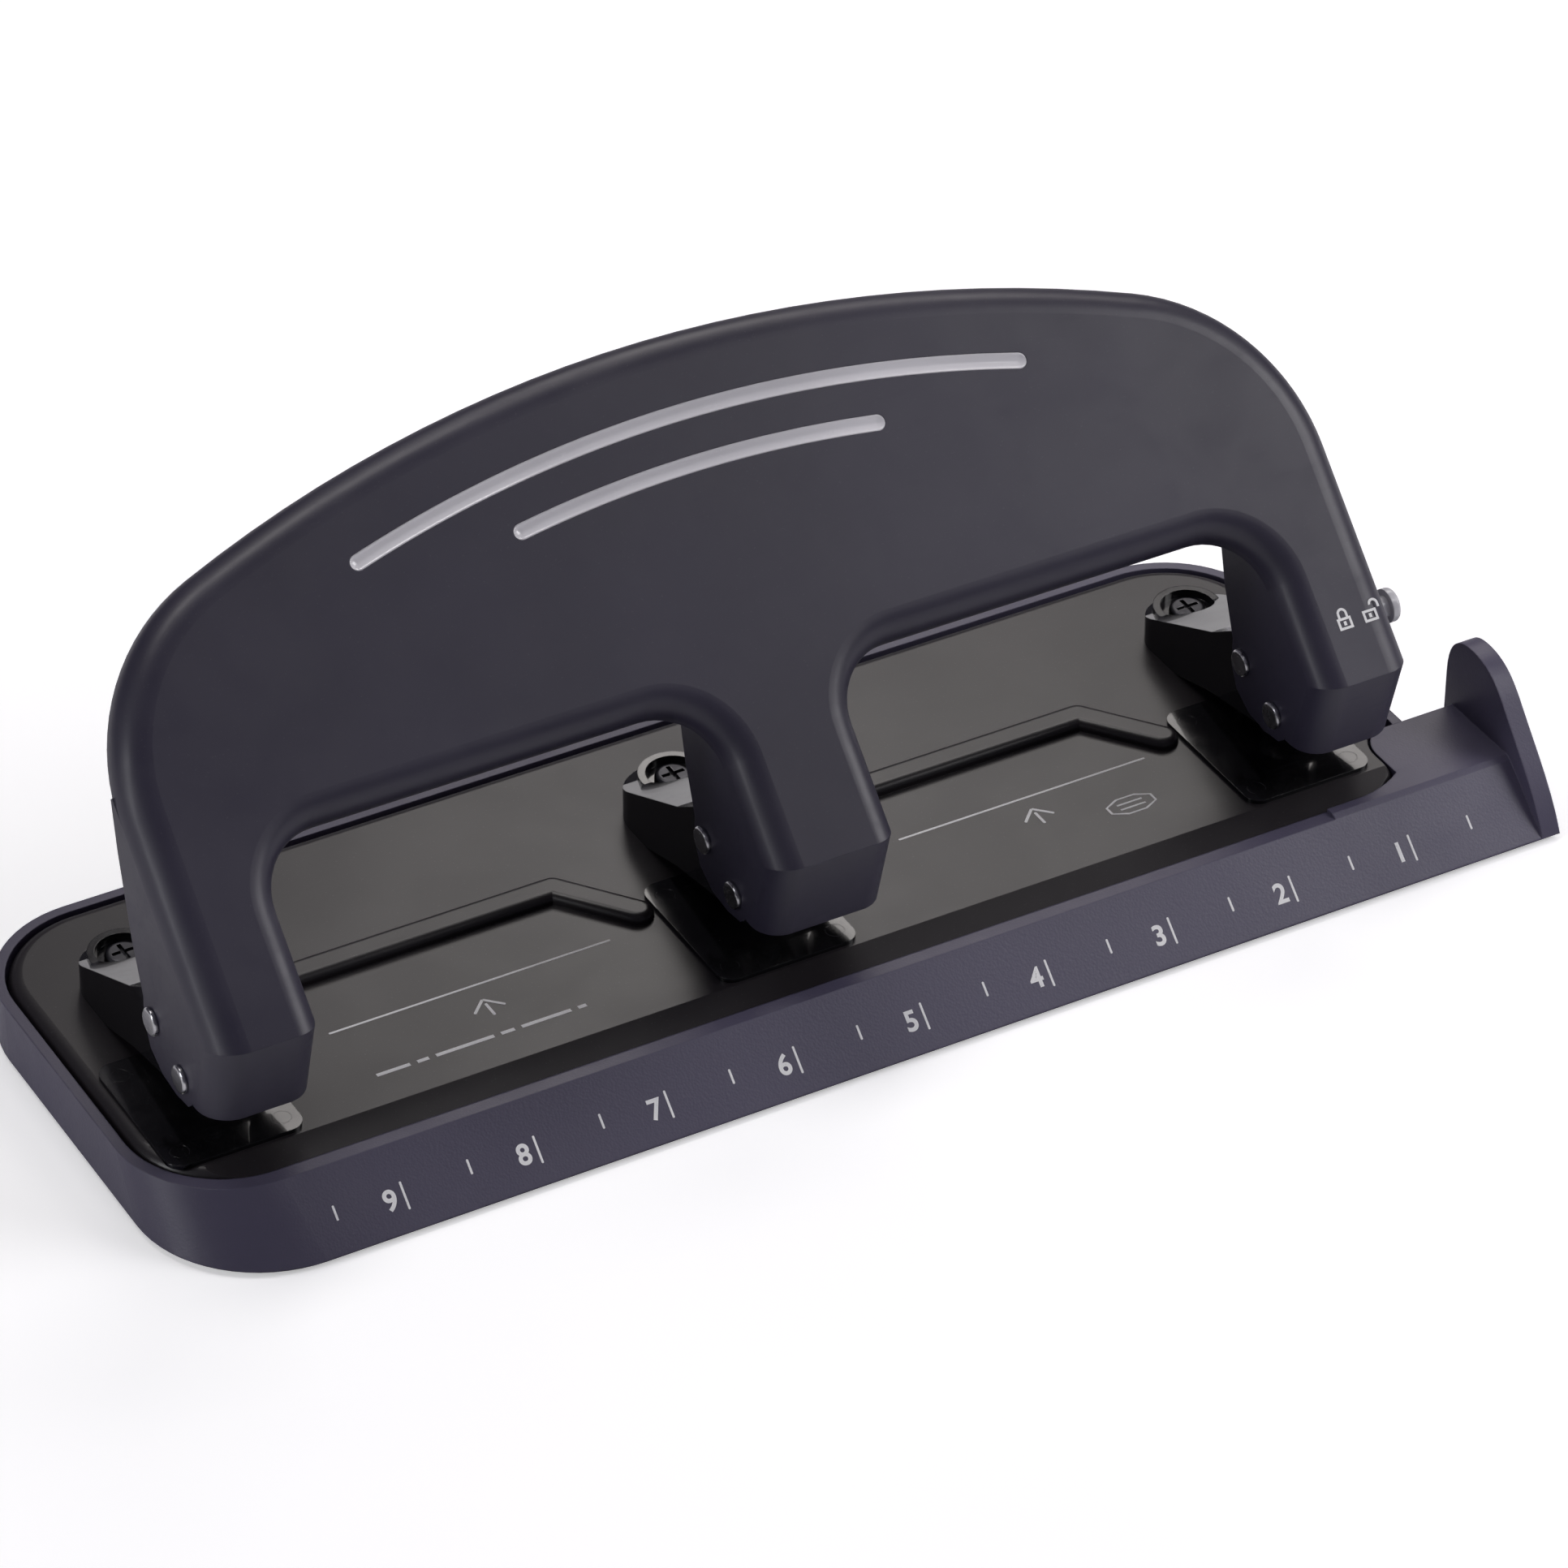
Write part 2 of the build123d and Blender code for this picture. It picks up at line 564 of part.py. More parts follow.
def foot_block(x0, x1, radii, front, back, low):
    """Block under one foot's face between two depths, with its two front edges rounded."""
    high = 12.0
    face = Pos((x0 + x1) / 2, (high + low) / 2, -front) * Rectangle(x1 - x0, high - low)
    block = extrude(face, amount=front - back)
    for x, radius in zip((x0, x1), radii):
        edges = [edge for edge in block.edges().group_by(Axis.Z)[-1] if abs(edge.center().X - x) < 1e-3]
        block = fillet(edges, radius)
    return block


def foot(index):
    """Lower end of one leg: a shallow channel that is open at the back and the bottom."""
    left, right = LEG_EDGES[index]
    radii = [EDGE_R if abs(x) == HANDLE_X else WINDOW_EDGE_R for x in (left, right)]
    outer = foot_block(left, right, radii, 0, PANEL_DEPTH, -FOOT_LENGTH - 4)
    inner = foot_block(left + SHEET, right - SHEET, [radius - SHEET for radius in radii], SHEET,
                       PANEL_DEPTH + 5, -FOOT_LENGTH - 8)
    shell = FOOT_FACE * (outer - inner)
    return (shell & knee_space()) - box(left - 1, right + 1, -60, 0, 0, FOOT_Z)


def knee_space():
    """Everything below the mitre plane at the knee."""
    return extrude(BELOW_KNEE * Rectangle(300, 120), amount=60)


def ear(x0):
    """Side wall of a leg, deep enough to carry the two cross pins."""
    knee = panel_point(KNEE_S + EDGE_R / math.tan(KNEE_HALF_RAD), EDGE_R)
    front_high = panel_point(-6.0, EDGE_R)
    back_high = panel_point(-6.0, PANEL_DEPTH)
    front_low = (FOOT_Y + EDGE_R * math.cos(FOOT_RAD), FOOT_Z + EDGE_R * math.sin(FOOT_RAD))
    points = [front_low, knee, front_high, back_high, (5.0, 59.0), (1.2, 43.0), (-2.2, 33.4), (-2.2, 28.0),
              (-4.2, 23.6), (-8.6, 20.9), (-14.0, 20.2), (-18.6, 20.8)]
    return side_plate(points, x0, x0 + SHEET)


def build_handle():
    outer = handle_block(0, 0, PANEL_DEPTH, KNEE_S - 15, EDGE_R, WINDOW_EDGE_R)
    inner = handle_block(SHEET, SHEET, PANEL_DEPTH + 5, KNEE_S - 20, EDGE_R - SHEET, WINDOW_EDGE_R - SHEET)
    shell = PANEL * (outer - inner) - knee_space()
    for depth, half in GROOVES:
        radius = ARCH_R - depth
        sweep_deg = 2 * math.degrees(math.asin(half / radius))
        arc = CenterArc((0, ARCH_TOP - ARCH_R), radius, 90 - sweep_deg / 2, sweep_deg)
        groove = extrude(Pos(0, 0, -GROOVE_DEPTH) * SlotArc(arc, GROOVE_W), amount=3)
        shell -= PANEL * groove
    for index, (left, right) in enumerate(LEG_EDGES):
        shell += foot(index)
        shell += ear(left)
        shell += ear(right - SHEET)
    shell -= rod_x(-150, 150, PIVOT_Y, PIVOT_Z, PIN_R + RUN_CLEAR)
    shell -= rod_x(-150, 150, DRIVE_Y, DRIVE_Z, PIN_R)
    y, z = lock_place(False)
    shell -= rod_x(HANDLE_X - 5, HANDLE_X + 5, y, z, LOCK_R + RUN_CLEAR)
    return one(shell)


def build_lock_button():
    y, z = lock_place(False)
    tip = HANDLE_X - SHEET + 0.1
    knob = HANDLE_X + LOCK_TRAVEL + 0.2
    button = rod_x(tip, knob + 0.5, y, z, LOCK_R)
    cap = rod_x(knob, knob + 1.8, y, z, LOCK_KNOB_R)
    cap = fillet(cap.edges().group_by(Axis.X)[-1], 0.8)
    return one(button + cap)


# ---- all nodes ----------------------------------------------------------------------------------
def build_all():
    nodes = {
        "base_tray": build_tray(),
        "chip_door": build_chip_door(),
        "rubber_feet": build_rubber_feet(),
        "base_plate": build_base_plate(),
        "die_rivets": build_die_rivets(),
        "bracket_screws": build_bracket_screws(),
        "pivot_clips": build_clips(PIVOT_Y, PIVOT_Z),
        "drive_clips": build_clips(DRIVE_Y, DRIVE_Z),
        "handle_shell": build_handle(),
        "lock_button": build_lock_button(),
    }
    for index, name in enumerate(NAMES):
        nodes[f"die_plate_{name}"] = build_die_plate(index)
        nodes[f"head_bracket_{name}"] = build_bracket(index)
        nodes[f"punch_guide_{name}"] = build_punch_guide(index)
        nodes[f"punch_pin_{name}"] = build_punch(index)
        nodes[f"punch_yoke_{name}"] = build_yoke(index)
        nodes[f"return_spring_{name}"] = build_spring(index)
        nodes[f"pivot_pin_{name}"] = build_pin(index, PIVOT_Y, PIVOT_Z)
        nodes[f"drive_pin_{name}"] = build_pin(index, DRIVE_Y, DRIVE_Z)
    return nodes


def main():
    os.makedirs("parts", exist_ok=True)
    for name, shape in build_all().items():
        export_step(Pos(*(-value for value in ORIGIN)) * shape, f"parts/{name}.step")


main()
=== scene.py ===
"""Finishes, printed marks and studio for a desktop paper punch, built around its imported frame.

Metres throughout. +X runs along the punch towards the paper stop, +Y to the back and +Z up.
"""

import math

import bmesh
import bpy
from bpy.props import FloatProperty, FloatVectorProperty, PointerProperty
from mathutils import Matrix, Vector


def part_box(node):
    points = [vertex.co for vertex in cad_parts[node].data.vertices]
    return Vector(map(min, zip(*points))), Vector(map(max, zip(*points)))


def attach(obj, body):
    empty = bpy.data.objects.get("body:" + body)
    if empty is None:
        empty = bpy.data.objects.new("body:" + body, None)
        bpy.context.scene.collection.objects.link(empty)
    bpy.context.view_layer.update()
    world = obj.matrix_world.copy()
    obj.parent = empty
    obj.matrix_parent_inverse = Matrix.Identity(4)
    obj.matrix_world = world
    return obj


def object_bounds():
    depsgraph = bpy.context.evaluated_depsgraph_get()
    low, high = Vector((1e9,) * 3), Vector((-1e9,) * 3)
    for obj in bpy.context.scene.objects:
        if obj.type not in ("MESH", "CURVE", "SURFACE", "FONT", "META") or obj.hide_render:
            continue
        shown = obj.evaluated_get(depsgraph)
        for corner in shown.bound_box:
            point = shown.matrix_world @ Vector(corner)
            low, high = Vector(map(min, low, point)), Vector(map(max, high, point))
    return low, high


bl_info = {
    "name": "Paper punch finishes",
    "version": (1, 0, 0),
    "blender": (4, 5, 0),
    "location": "View3D > Sidebar > Paper Punch",
    "description": "Paints, printed marks and studio for a desktop paper punch",
    "category": "Object",
}

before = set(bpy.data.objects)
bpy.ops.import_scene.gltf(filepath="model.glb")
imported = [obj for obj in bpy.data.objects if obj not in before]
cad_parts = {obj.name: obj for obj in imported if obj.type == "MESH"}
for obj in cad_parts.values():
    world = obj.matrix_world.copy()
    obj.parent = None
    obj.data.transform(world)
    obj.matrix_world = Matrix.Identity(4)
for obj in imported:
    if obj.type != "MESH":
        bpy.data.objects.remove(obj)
FRAME_LOW, FRAME_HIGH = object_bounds()

# ---- where things are on the frame --------------------------------------------------------------
TRAY_LOW, TRAY_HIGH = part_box("base_tray")
STOP_THICKNESS = 0.0038
STOP_FACE_X = TRAY_HIGH.x - STOP_THICKNESS     # the paper stop's inner face
RULER_FOOT = Vector((0.0, TRAY_LOW.y, TRAY_LOW.z))
RULER_TOP = Vector((0.0, TRAY_LOW.y + 0.0116, 0.0114))
PLATFORM_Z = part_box("die_plate_middle")[0].z
MIDDLE_PUNCH = (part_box("punch_pin_middle")[0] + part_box("punch_pin_middle")[1]) / 2
PANEL_MIDDLE = Vector((MIDDLE_PUNCH.x, 0.0008, 0.0777))
PANEL_LEAN = math.radians(45.0)
ARCH_RADIUS = 0.265
ARCH_APEX = 0.0423                             # up the panel from its middle
GROOVES = (("upper", 0.0147, 0.065), ("lower", 0.0239, 0.035))   # below the arch, half length
GROOVE_HALF_WIDTH = 0.00147
GROOVE_FLOOR = 0.00069
GROOVE_LIP = 0.00003                           # depth of a groove bed at its edge
GROOVE_DIP = 0.00058                           # further depth along its middle

# printed marks. On the platform, X and Y are measured from the middle punch.
RULER_MARK_MIDDLE = 0.0063                     # up the ruler face, at the middle of the long ticks
SHORT_TICK_RISE = 0.0010                       # short ticks sit this much higher
FIGURE_GAP = 0.0010                            # from a figure to its tick
GUIDE_LINES = ((-0.084, -0.029, 0.0031), (0.030, 0.0815, 0.0041))   # left end, right end, Y
ARROW_TIPS = ((-0.0565, -0.0012), (0.0555, 0.0006))
ARROW_BARB = 0.0030
ARROW_SHAFT = (0.0012, 0.0048)                 # its two ends, below the tip
DASH_LENGTHS = (0.0064, 0.0022, 0.0112, 0.0026, 0.0096, 0.0016)
DASH_START = -0.082
DASH_GAP = 0.0014
DASH_LOW, DASH_HIGH = -0.0116, -0.0108
BADGE_MIDDLE = Vector((0.072, -0.0068))
BADGE_REACH = (0.0052, 0.0027)
BADGE_ROW_RISE = 0.0007
BADGE_ROW_HALF = (0.0026, 0.0002)              # half length, half width
LOCK_MARKS = ((0.1075, 0.0), (0.1128, 0.45))   # place across the panel, how far the shackle stands aside
LOCK_MARK_FOOT = -0.0442                       # up the panel from its middle

# printed ink stands this far out of its surface and reaches this far into it
INK_LIFT = 0.00004
INK_SINK = 0.00002

# the camera looks at this point, measured from the middle punch, the tray's front edge and the table
AIM_RIGHT = 0.01308
AIM_BACK = 0.05541
AIM_HEIGHT = 0.02283

FLOOR_GLOW = 0.42                              # lifts the floor towards white where the camera sees it


# ---- settings -----------------------------------------------------------------------------------
def colour_property(name, description, default):
    return FloatVectorProperty(name=name, description=description, default=default, size=3,
                               subtype="COLOR", min=0.0, max=1.0)


def length_property(name, description, default):
    return FloatProperty(name=name, description=description, default=default, min=0.0, unit="LENGTH",
                         precision=5)


def factor_property(name, description, default):
    return FloatProperty(name=name, description=description, default=default, min=0.0, max=1.0,
                         subtype="FACTOR")


class PunchFinishes(bpy.types.PropertyGroup):
    """Colours and condition of the paints, plastic, steel and ink."""

    handle_colour: colour_property("Handle paint", "Satin slate paint of the press handle",
                                   (0.029, 0.0260, 0.046))
    # the groove colour is a painted highlight: pale colour standing in for the light caught by the grooves'
    # upward-facing walls
    groove_colour: colour_property("Groove paint", "Pale gloss paint in the beds of the grooves",
                                   (0.84, 0.83, 0.87))
    plate_colour: colour_property("Plate paint", "Dark paint of the paper platform",
                                  (0.012, 0.0098, 0.0118))
    head_colour: colour_property("Head paint", "Gloss black paint of the brackets and dies",
                                 (0.0035, 0.0034, 0.0042))
    tray_colour: colour_property("Tray plastic", "Moulded plastic of the tray and paper stop",
                                 (0.080, 0.073, 0.118))
    steel_colour: colour_property("Bright steel", "Ground steel of the punches, springs and cross pins",
                                  (0.60, 0.60, 0.62))
    dark_steel_colour: colour_property("Dark steel", "Blackened steel of the screws, guides and clips",
                                       (0.060, 0.060, 0.066))
    lock_colour: colour_property("Lock plastic", "Pale glossy plastic of the lock button",
                                 (0.60, 0.60, 0.63))
    rubber_colour: colour_property("Rubber", "Rubber of the feet", (0.022, 0.022, 0.023))
    ink_colour: colour_property("Printing ink", "White ink of the printed marks", (0.97, 0.97, 0.99))
    wear: factor_property("Edge wear", "How far the paint has worn through along its edges", 0.35)
    dust: factor_property("Dust", "How much dust lies on upward faces", 0.09)
    smudges: factor_property("Smudges", "How uneven the gloss is where hands touch", 0.5)


class PunchMarks(bpy.types.PropertyGroup):
    """Sizes of the printed marks."""

    inch: length_property("Ruler step", "Distance between the ruler's long ticks", 0.0254)
    tick_width: length_property("Tick width", "Width of the ruler's ticks", 0.00042)
    long_tick: length_property("Long tick", "Length of the ticks at whole steps", 0.0050)
    short_tick: length_property("Short tick", "Length of the ticks at half steps", 0.0027)
    figure_height: length_property("Figure height", "Height of the ruler's figures", 0.0036)
    guide_width: length_property("Guide width", "Width of the guide lines on the platform", 0.00045)
    lock_mark_height: length_property("Lock mark height", "Height of the padlock marks", 0.0042)


class PunchStudio(bpy.types.PropertyGroup):
    """Camera and lights."""

    camera_azimuth: FloatProperty(name="Azimuth", description="Turn of the camera about the punch",
                                  default=math.radians(-29.63), subtype="ANGLE")
    camera_elevation: FloatProperty(name="Elevation", description="Height of the camera above the floor",
                                    default=math.radians(36.0), subtype="ANGLE")
    camera_roll: FloatProperty(name="Roll", description="Turn of the picture about the line of sight",
                               default=math.radians(0.35), subtype="ANGLE")
    camera_distance: length_property("Distance", "From the camera to the point it looks at", 1.299)
    camera_lens: FloatProperty(name="Lens", description="Focal length on a 36 mm wide sensor",
                               default=167.76, min=20.0, subtype="DISTANCE_CAMERA")
    light_strength: FloatProperty(name="Light strength", description="Scales every studio light",
                                  default=1.0, min=0.0)
    floor_colour: colour_property("Floor", "Pale floor under the punch", (0.93, 0.93, 0.94))


# ---- node helpers -------------------------------------------------------------------------------
def place(tree, kind, settings=None, inputs=None):
    """New node. An input is either a plain value or a socket to link from."""
    made = tree.nodes.new(kind)
    for name, value in (settings or {}).items():
        setattr(made, name, value)
    for name, value in (inputs or {}).items():
        if isinstance(value, bpy.types.NodeSocket):
            tree.links.new(value, made.inputs[name])
        else:
            made.inputs[name].default_value = value
    return made


def maths(tree, operation, first, second=0.0, clamp=False):
    """Result of one Math node."""
    made = place(tree, "ShaderNodeMath", {"operation": operation, "use_clamp": clamp},
                 {0: first, 1: second})
    return made.outputs[0]


def blend_colour(tree, mask, first, second):
    """Colour that goes from first to second as mask goes from 0 to 1."""
    made = place(tree, "ShaderNodeMix", {"data_type": "RGBA"}, {0: mask, 6: first, 7: second})
    return made.outputs[2]


def ramp_value(tree, value, low, high, out_low=0.0, out_high=1.0):
    """Value stretched from low..high to out_low..out_high, with soft ends."""
    made = place(tree, "ShaderNodeMapRange", {"interpolation_type": "SMOOTHSTEP"},
                 {"Value": value, "From Min": low, "From Max": high, "To Min": out_low,
                  "To Max": out_high})
    return made.outputs[0]


def noise(tree, point, scale, detail=3.0, roughness=0.5, distortion=0.0):
    made = place(tree, "ShaderNodeTexNoise", {},
                 {"Vector": point, "Scale": scale, "Detail": detail, "Roughness": roughness,
                  "Distortion": distortion})
    return made.outputs[0]


def object_point(tree, stretch=(1.0, 1.0, 1.0)):
    """Point on the surface in the punch's own frame, stretched along its axes."""
    where = place(tree, "ShaderNodeTexCoord").outputs["Object"]
    if stretch == (1.0, 1.0, 1.0):
        return where
    return place(tree, "ShaderNodeMapping", {}, {"Vector": where, "Scale": stretch}).outputs[0]


def new_effect(name, inputs, outputs):
    """Empty shader node group with named sockets. Gives the group, its input and its output node."""
    group = bpy.data.node_groups.new(name, "ShaderNodeTree")
    for socket_name, default in inputs:
        socket = group.interface.new_socket(name=socket_name, in_out="INPUT",
                                            socket_type="NodeSocketFloat")
        socket.default_value = default
    for socket_name in outputs:
        group.interface.new_socket(name=socket_name, in_out="OUTPUT", socket_type="NodeSocketFloat")
    return group, group.nodes.new("NodeGroupInput"), group.nodes.new("NodeGroupOutput")


def effect(tree, name, **values):
    """The named effect placed in a material with its own values."""
    made = place(tree, "ShaderNodeGroup", {"node_tree": EFFECTS[name]()})
    for key, value in values.items():
        made.inputs[key.replace("_", " ").title()].default_value = value
    return made.outputs


# ---- effects shared by the finishes -------------------------------------------------------------
def once(builder):
    """Builds an effect the first time it is asked for and gives the same group afterwards."""
    def found():
        return bpy.data.node_groups.get(builder.__name__) or builder()
    return found


def worn_edges():
    """Mask along convex edges, broken up so that it looks rubbed."""
    group, given, result = new_effect(
        "worn_edges", (("Radius", 0.0005), ("Amount", 0.3), ("Break Up", 420.0)), ("Mask",))
    rounded = place(group, "ShaderNodeBevel", {"samples": 6}, {"Radius": given.outputs["Radius"]})
    flat = place(group, "ShaderNodeNewGeometry")
    agree = place(group, "ShaderNodeVectorMath", {"operation": "DOT_PRODUCT"},
                  {0: rounded.outputs[0], 1: flat.outputs["Normal"]}).outputs["Value"]
    edge = ramp_value(group, maths(group, "SUBTRACT", 1.0, agree), 0.02, 0.20)
    rubbed = ramp_value(group, noise(group, object_point(group), given.outputs["Break Up"], 5.0, 0.65),
                        0.44, 0.66)
    mask = maths(group, "MULTIPLY", maths(group, "MULTIPLY", edge, rubbed), given.outputs["Amount"])
    group.links.new(mask, result.inputs["Mask"])
    return group


def settled_dust():
    """Mask of fine dust on faces that look up, in soft drifts with single specks."""
    group, given, result = new_effect("settled_dust", (("Amount", 0.2), ("Drift", 38.0)), ("Mask",))
    where = object_point(group)
    normal = place(group, "ShaderNodeNewGeometry").outputs["Normal"]
    upward = place(group, "ShaderNodeSeparateXYZ", {}, {0: normal}).outputs["Z"]
    level = ramp_value(group, upward, 0.25, 1.0)
    drift = ramp_value(group, noise(group, where, given.outputs["Drift"], 4.0, 0.6), 0.35, 0.75)
    specks = ramp_value(group, noise(group, where, 2600.0, 2.0, 0.5), 0.66, 0.74)
    both = maths(group, "ADD", maths(group, "MULTIPLY", drift, 0.35), specks)
    mask = maths(group, "MULTIPLY", maths(group, "MULTIPLY", both, level), given.outputs["Amount"], True)
    group.links.new(mask, result.inputs["Mask"])
    return group


def handling_smudges():
    """Shift in roughness from fingerprints, wiping and hair scratches."""
    group, given, result = new_effect("handling_smudges", (("Amount", 0.5), ("Spread", 60.0)), ("Shift",))
    patches = ramp_value(group, noise(group, object_point(group), given.outputs["Spread"], 5.0, 0.6, 0.6),
                         0.35, 0.7, -0.06, 0.10)
    wiped = ramp_value(group, noise(group, object_point(group, (0.12, 1.0, 1.0)), 900.0, 3.0, 0.6),
                       0.56, 0.72, 0.0, 0.09)
    shift = maths(group, "MULTIPLY", maths(group, "ADD", patches, wiped), given.outputs["Amount"])
    group.links.new(shift, result.inputs["Shift"])
    return group


def uneven_tone():
    """Slow change of shade over a surface, from 0 to 1."""
    group, given, result = new_effect("uneven_tone", (("Scale", 14.0),), ("Shade",))
    shade = ramp_value(group, noise(group, object_point(group), given.outputs["Scale"], 2.0, 0.5), 0.3, 0.7)
    group.links.new(shade, result.inputs["Shade"])
    return group


def sprayed_skin():
    """Height of sprayed paint: a shallow ripple with finer grit in it."""
    group, given, result = new_effect("sprayed_skin", (("Ripple", 420.0), ("Grit", 3200.0)), ("Height",))
    where = object_point(group)
    ripple = noise(group, where, given.outputs["Ripple"], 2.0, 0.4)
    grit = noise(group, where, given.outputs["Grit"], 2.0, 0.5)
    group.links.new(maths(group, "ADD", ripple, maths(group, "MULTIPLY", grit, 0.18)),
                    result.inputs["Height"])
    return group


def spark_grain():
    """Height of spark-eroded moulded plastic: small rounded pits packed together."""
    group, given, result = new_effect("spark_grain", (("Scale", 2400.0),), ("Height",))
    where = object_point(group)
    cells = place(group, "ShaderNodeTexVoronoi", {"feature": "SMOOTH_F1"},
                  {"Vector": where, "Scale": given.outputs["Scale"], "Smoothness": 0.6}).outputs["Distance"]
    soft = noise(group, where, 900.0, 3.0, 0.55)
    group.links.new(maths(group, "ADD", cells, soft), result.inputs["Height"])
    return group


def ground_lines():
    """Height and shade of fine grinding lines that run across a steel piece."""
    group, given, result = new_effect("ground_lines", (("Scale", 2600.0),), ("Height", "Shade"))
    lines = noise(group, object_point(group, (0.06, 0.06, 1.0)), given.outputs["Scale"], 4.0, 0.65)
    stains = noise(group, object_point(group), 240.0, 4.0, 0.6)
    group.links.new(lines, result.inputs["Height"])
    group.links.new(ramp_value(group, maths(group, "ADD", lines, stains), 0.7, 1.3), result.inputs["Shade"])
    return group


EFFECTS = {builder.__name__: once(builder)
           for builder in (worn_edges, settled_dust, handling_smudges, uneven_tone, sprayed_skin,
                           spark_grain, ground_lines)}


# ---- finishes -----------------------------------------------------------------------------------
DUST_COLOUR = (0.30, 0.29, 0.30, 1.0)


def shaded(colour, factor):
    """Colour made lighter or darker, with full alpha."""
    return tuple(min(1.0, part * factor) for part in colour) + (1.0,)


def start_finish(name):
    """New material with an empty tree but for its surface shader and output."""
    material = bpy.data.materials.new(name)
    material.use_nodes = True
    tree = material.node_tree
    tree.nodes.clear()
    shader = place(tree, "ShaderNodeBsdfPrincipled")
    output = place(tree, "ShaderNodeOutputMaterial")
    tree.links.new(shader.outputs[0], output.inputs["Surface"])
    return material, tree, shader


def add_relief(tree, shader, height, depth, edge_radius):
    """Surface relief over softly rounded edges."""
    rounded = place(tree, "ShaderNodeBevel", {"samples": 4}, {"Radius": edge_radius}).outputs[0]
    bump = place(tree, "ShaderNodeBump", {}, {"Strength": 1.0, "Distance": depth, "Height": height,
                                              "Normal": rounded})
    tree.links.new(bump.outputs[0], shader.inputs["Normal"])


def painted_sheet(name, colour, roughness, coat, coat_roughness, ripple_depth, dust_drift=38.0, wear=1.0,
                  smudge_spread=60.0, smudge_share=1.0):
    """Sprayed paint on pressed steel, with uneven gloss, dust and paint rubbed thin along its edges."""
    finishes = bpy.context.scene.punch_finishes
    material, tree, shader = start_finish(name)
    shade = effect(tree, "uneven_tone", scale=14.0)["Shade"]
    paint = blend_colour(tree, shade, shaded(colour, 0.86), shaded(colour, 1.16))
    edges = effect(tree, "worn_edges", radius=0.0005, amount=finishes.wear * wear)["Mask"]
    rubbed = blend_colour(tree, edges, paint, shaded(colour, 3.2))
    dust = effect(tree, "settled_dust", amount=finishes.dust, drift=dust_drift)["Mask"]
    dusty = blend_colour(tree, dust, rubbed, DUST_COLOUR)
    tree.links.new(dusty, shader.inputs["Base Color"])
    shift = effect(tree, "handling_smudges", amount=finishes.smudges * smudge_share,
                   spread=smudge_spread)["Shift"]
    gloss = maths(tree, "ADD", shift, roughness)
    gloss = maths(tree, "ADD", gloss, maths(tree, "MULTIPLY", dust, 0.5), True)
    tree.links.new(gloss, shader.inputs["Roughness"])
    shader.inputs["Coat Weight"].default_value = coat
    shader.inputs["Coat Roughness"].default_value = coat_roughness
    skin = effect(tree, "sprayed_skin", ripple=520.0, grit=3400.0)["Height"]
    add_relief(tree, shader, skin, ripple_depth, 0.00025)
    return material


def moulded_plastic(name, colour, roughness, grain_depth):
    """Spark-grained plastic with slight flow shading and scuffed edges."""
    finishes = bpy.context.scene.punch_finishes
    material, tree, shader = start_finish(name)
    shade = effect(tree, "uneven_tone", scale=11.0)["Shade"]
    flow = blend_colour(tree, shade, shaded(colour, 0.88), shaded(colour, 1.12))
    edges = effect(tree, "worn_edges", radius=0.0006, amount=finishes.wear, break_up=300.0)["Mask"]
    scuffed = blend_colour(tree, edges, flow, shaded(colour, 2.2))
    dust = effect(tree, "settled_dust", amount=finishes.dust * 0.8, drift=30.0)["Mask"]
    tree.links.new(blend_colour(tree, dust, scuffed, DUST_COLOUR), shader.inputs["Base Color"])
    shift = effect(tree, "handling_smudges", amount=finishes.smudges, spread=45.0)["Shift"]
    tree.links.new(maths(tree, "ADD", shift, roughness, True), shader.inputs["Roughness"])
    shader.inputs["Specular IOR Level"].default_value = 0.5
    grain = effect(tree, "spark_grain", scale=2400.0)["Height"]
    add_relief(tree, shader, grain, grain_depth, 0.0004)
    return material


def ground_metal(name, colour, roughness, dark_share):
    """Bare or blackened steel with grinding lines, stains and bright edges."""
    finishes = bpy.context.scene.punch_finishes
    material, tree, shader = start_finish(name)
    lines = effect(tree, "ground_lines", scale=2600.0)
    steel = blend_colour(tree, lines["Shade"], shaded(colour, dark_share), shaded(colour, 1.1))
    edges = effect(tree, "worn_edges", radius=0.0003, amount=finishes.wear)["Mask"]
    tree.links.new(blend_colour(tree, edges, steel, (0.72, 0.72, 0.74, 1.0)), shader.inputs["Base Color"])
    shader.inputs["Metallic"].default_value = 1.0
    shift = effect(tree, "handling_smudges", amount=finishes.smudges, spread=160.0)["Shift"]
    tree.links.new(maths(tree, "ADD", shift, roughness, True), shader.inputs["Roughness"])
    add_relief(tree, shader, lines["Height"], 0.000012, 0.0002)
    return material


def foot_rubber(name, colour):
    """Matt rubber that has picked up table dust."""
    finishes = bpy.context.scene.punch_finishes
    material, tree, shader = start_finish(name)
    shade = effect(tree, "uneven_tone", scale=180.0)["Shade"]
    tree.links.new(blend_colour(tree, shade, shaded(colour, 0.7), shaded(colour, 1.8)),
                   shader.inputs["Base Color"])
    shift = effect(tree, "handling_smudges", amount=finishes.smudges, spread=220.0)["Shift"]
    tree.links.new(maths(tree, "ADD", shift, 0.82, True), shader.inputs["Roughness"])
    grain = effect(tree, "spark_grain", scale=3200.0)["Height"]
    add_relief(tree, shader, grain, 0.00003, 0.0003)
    return material


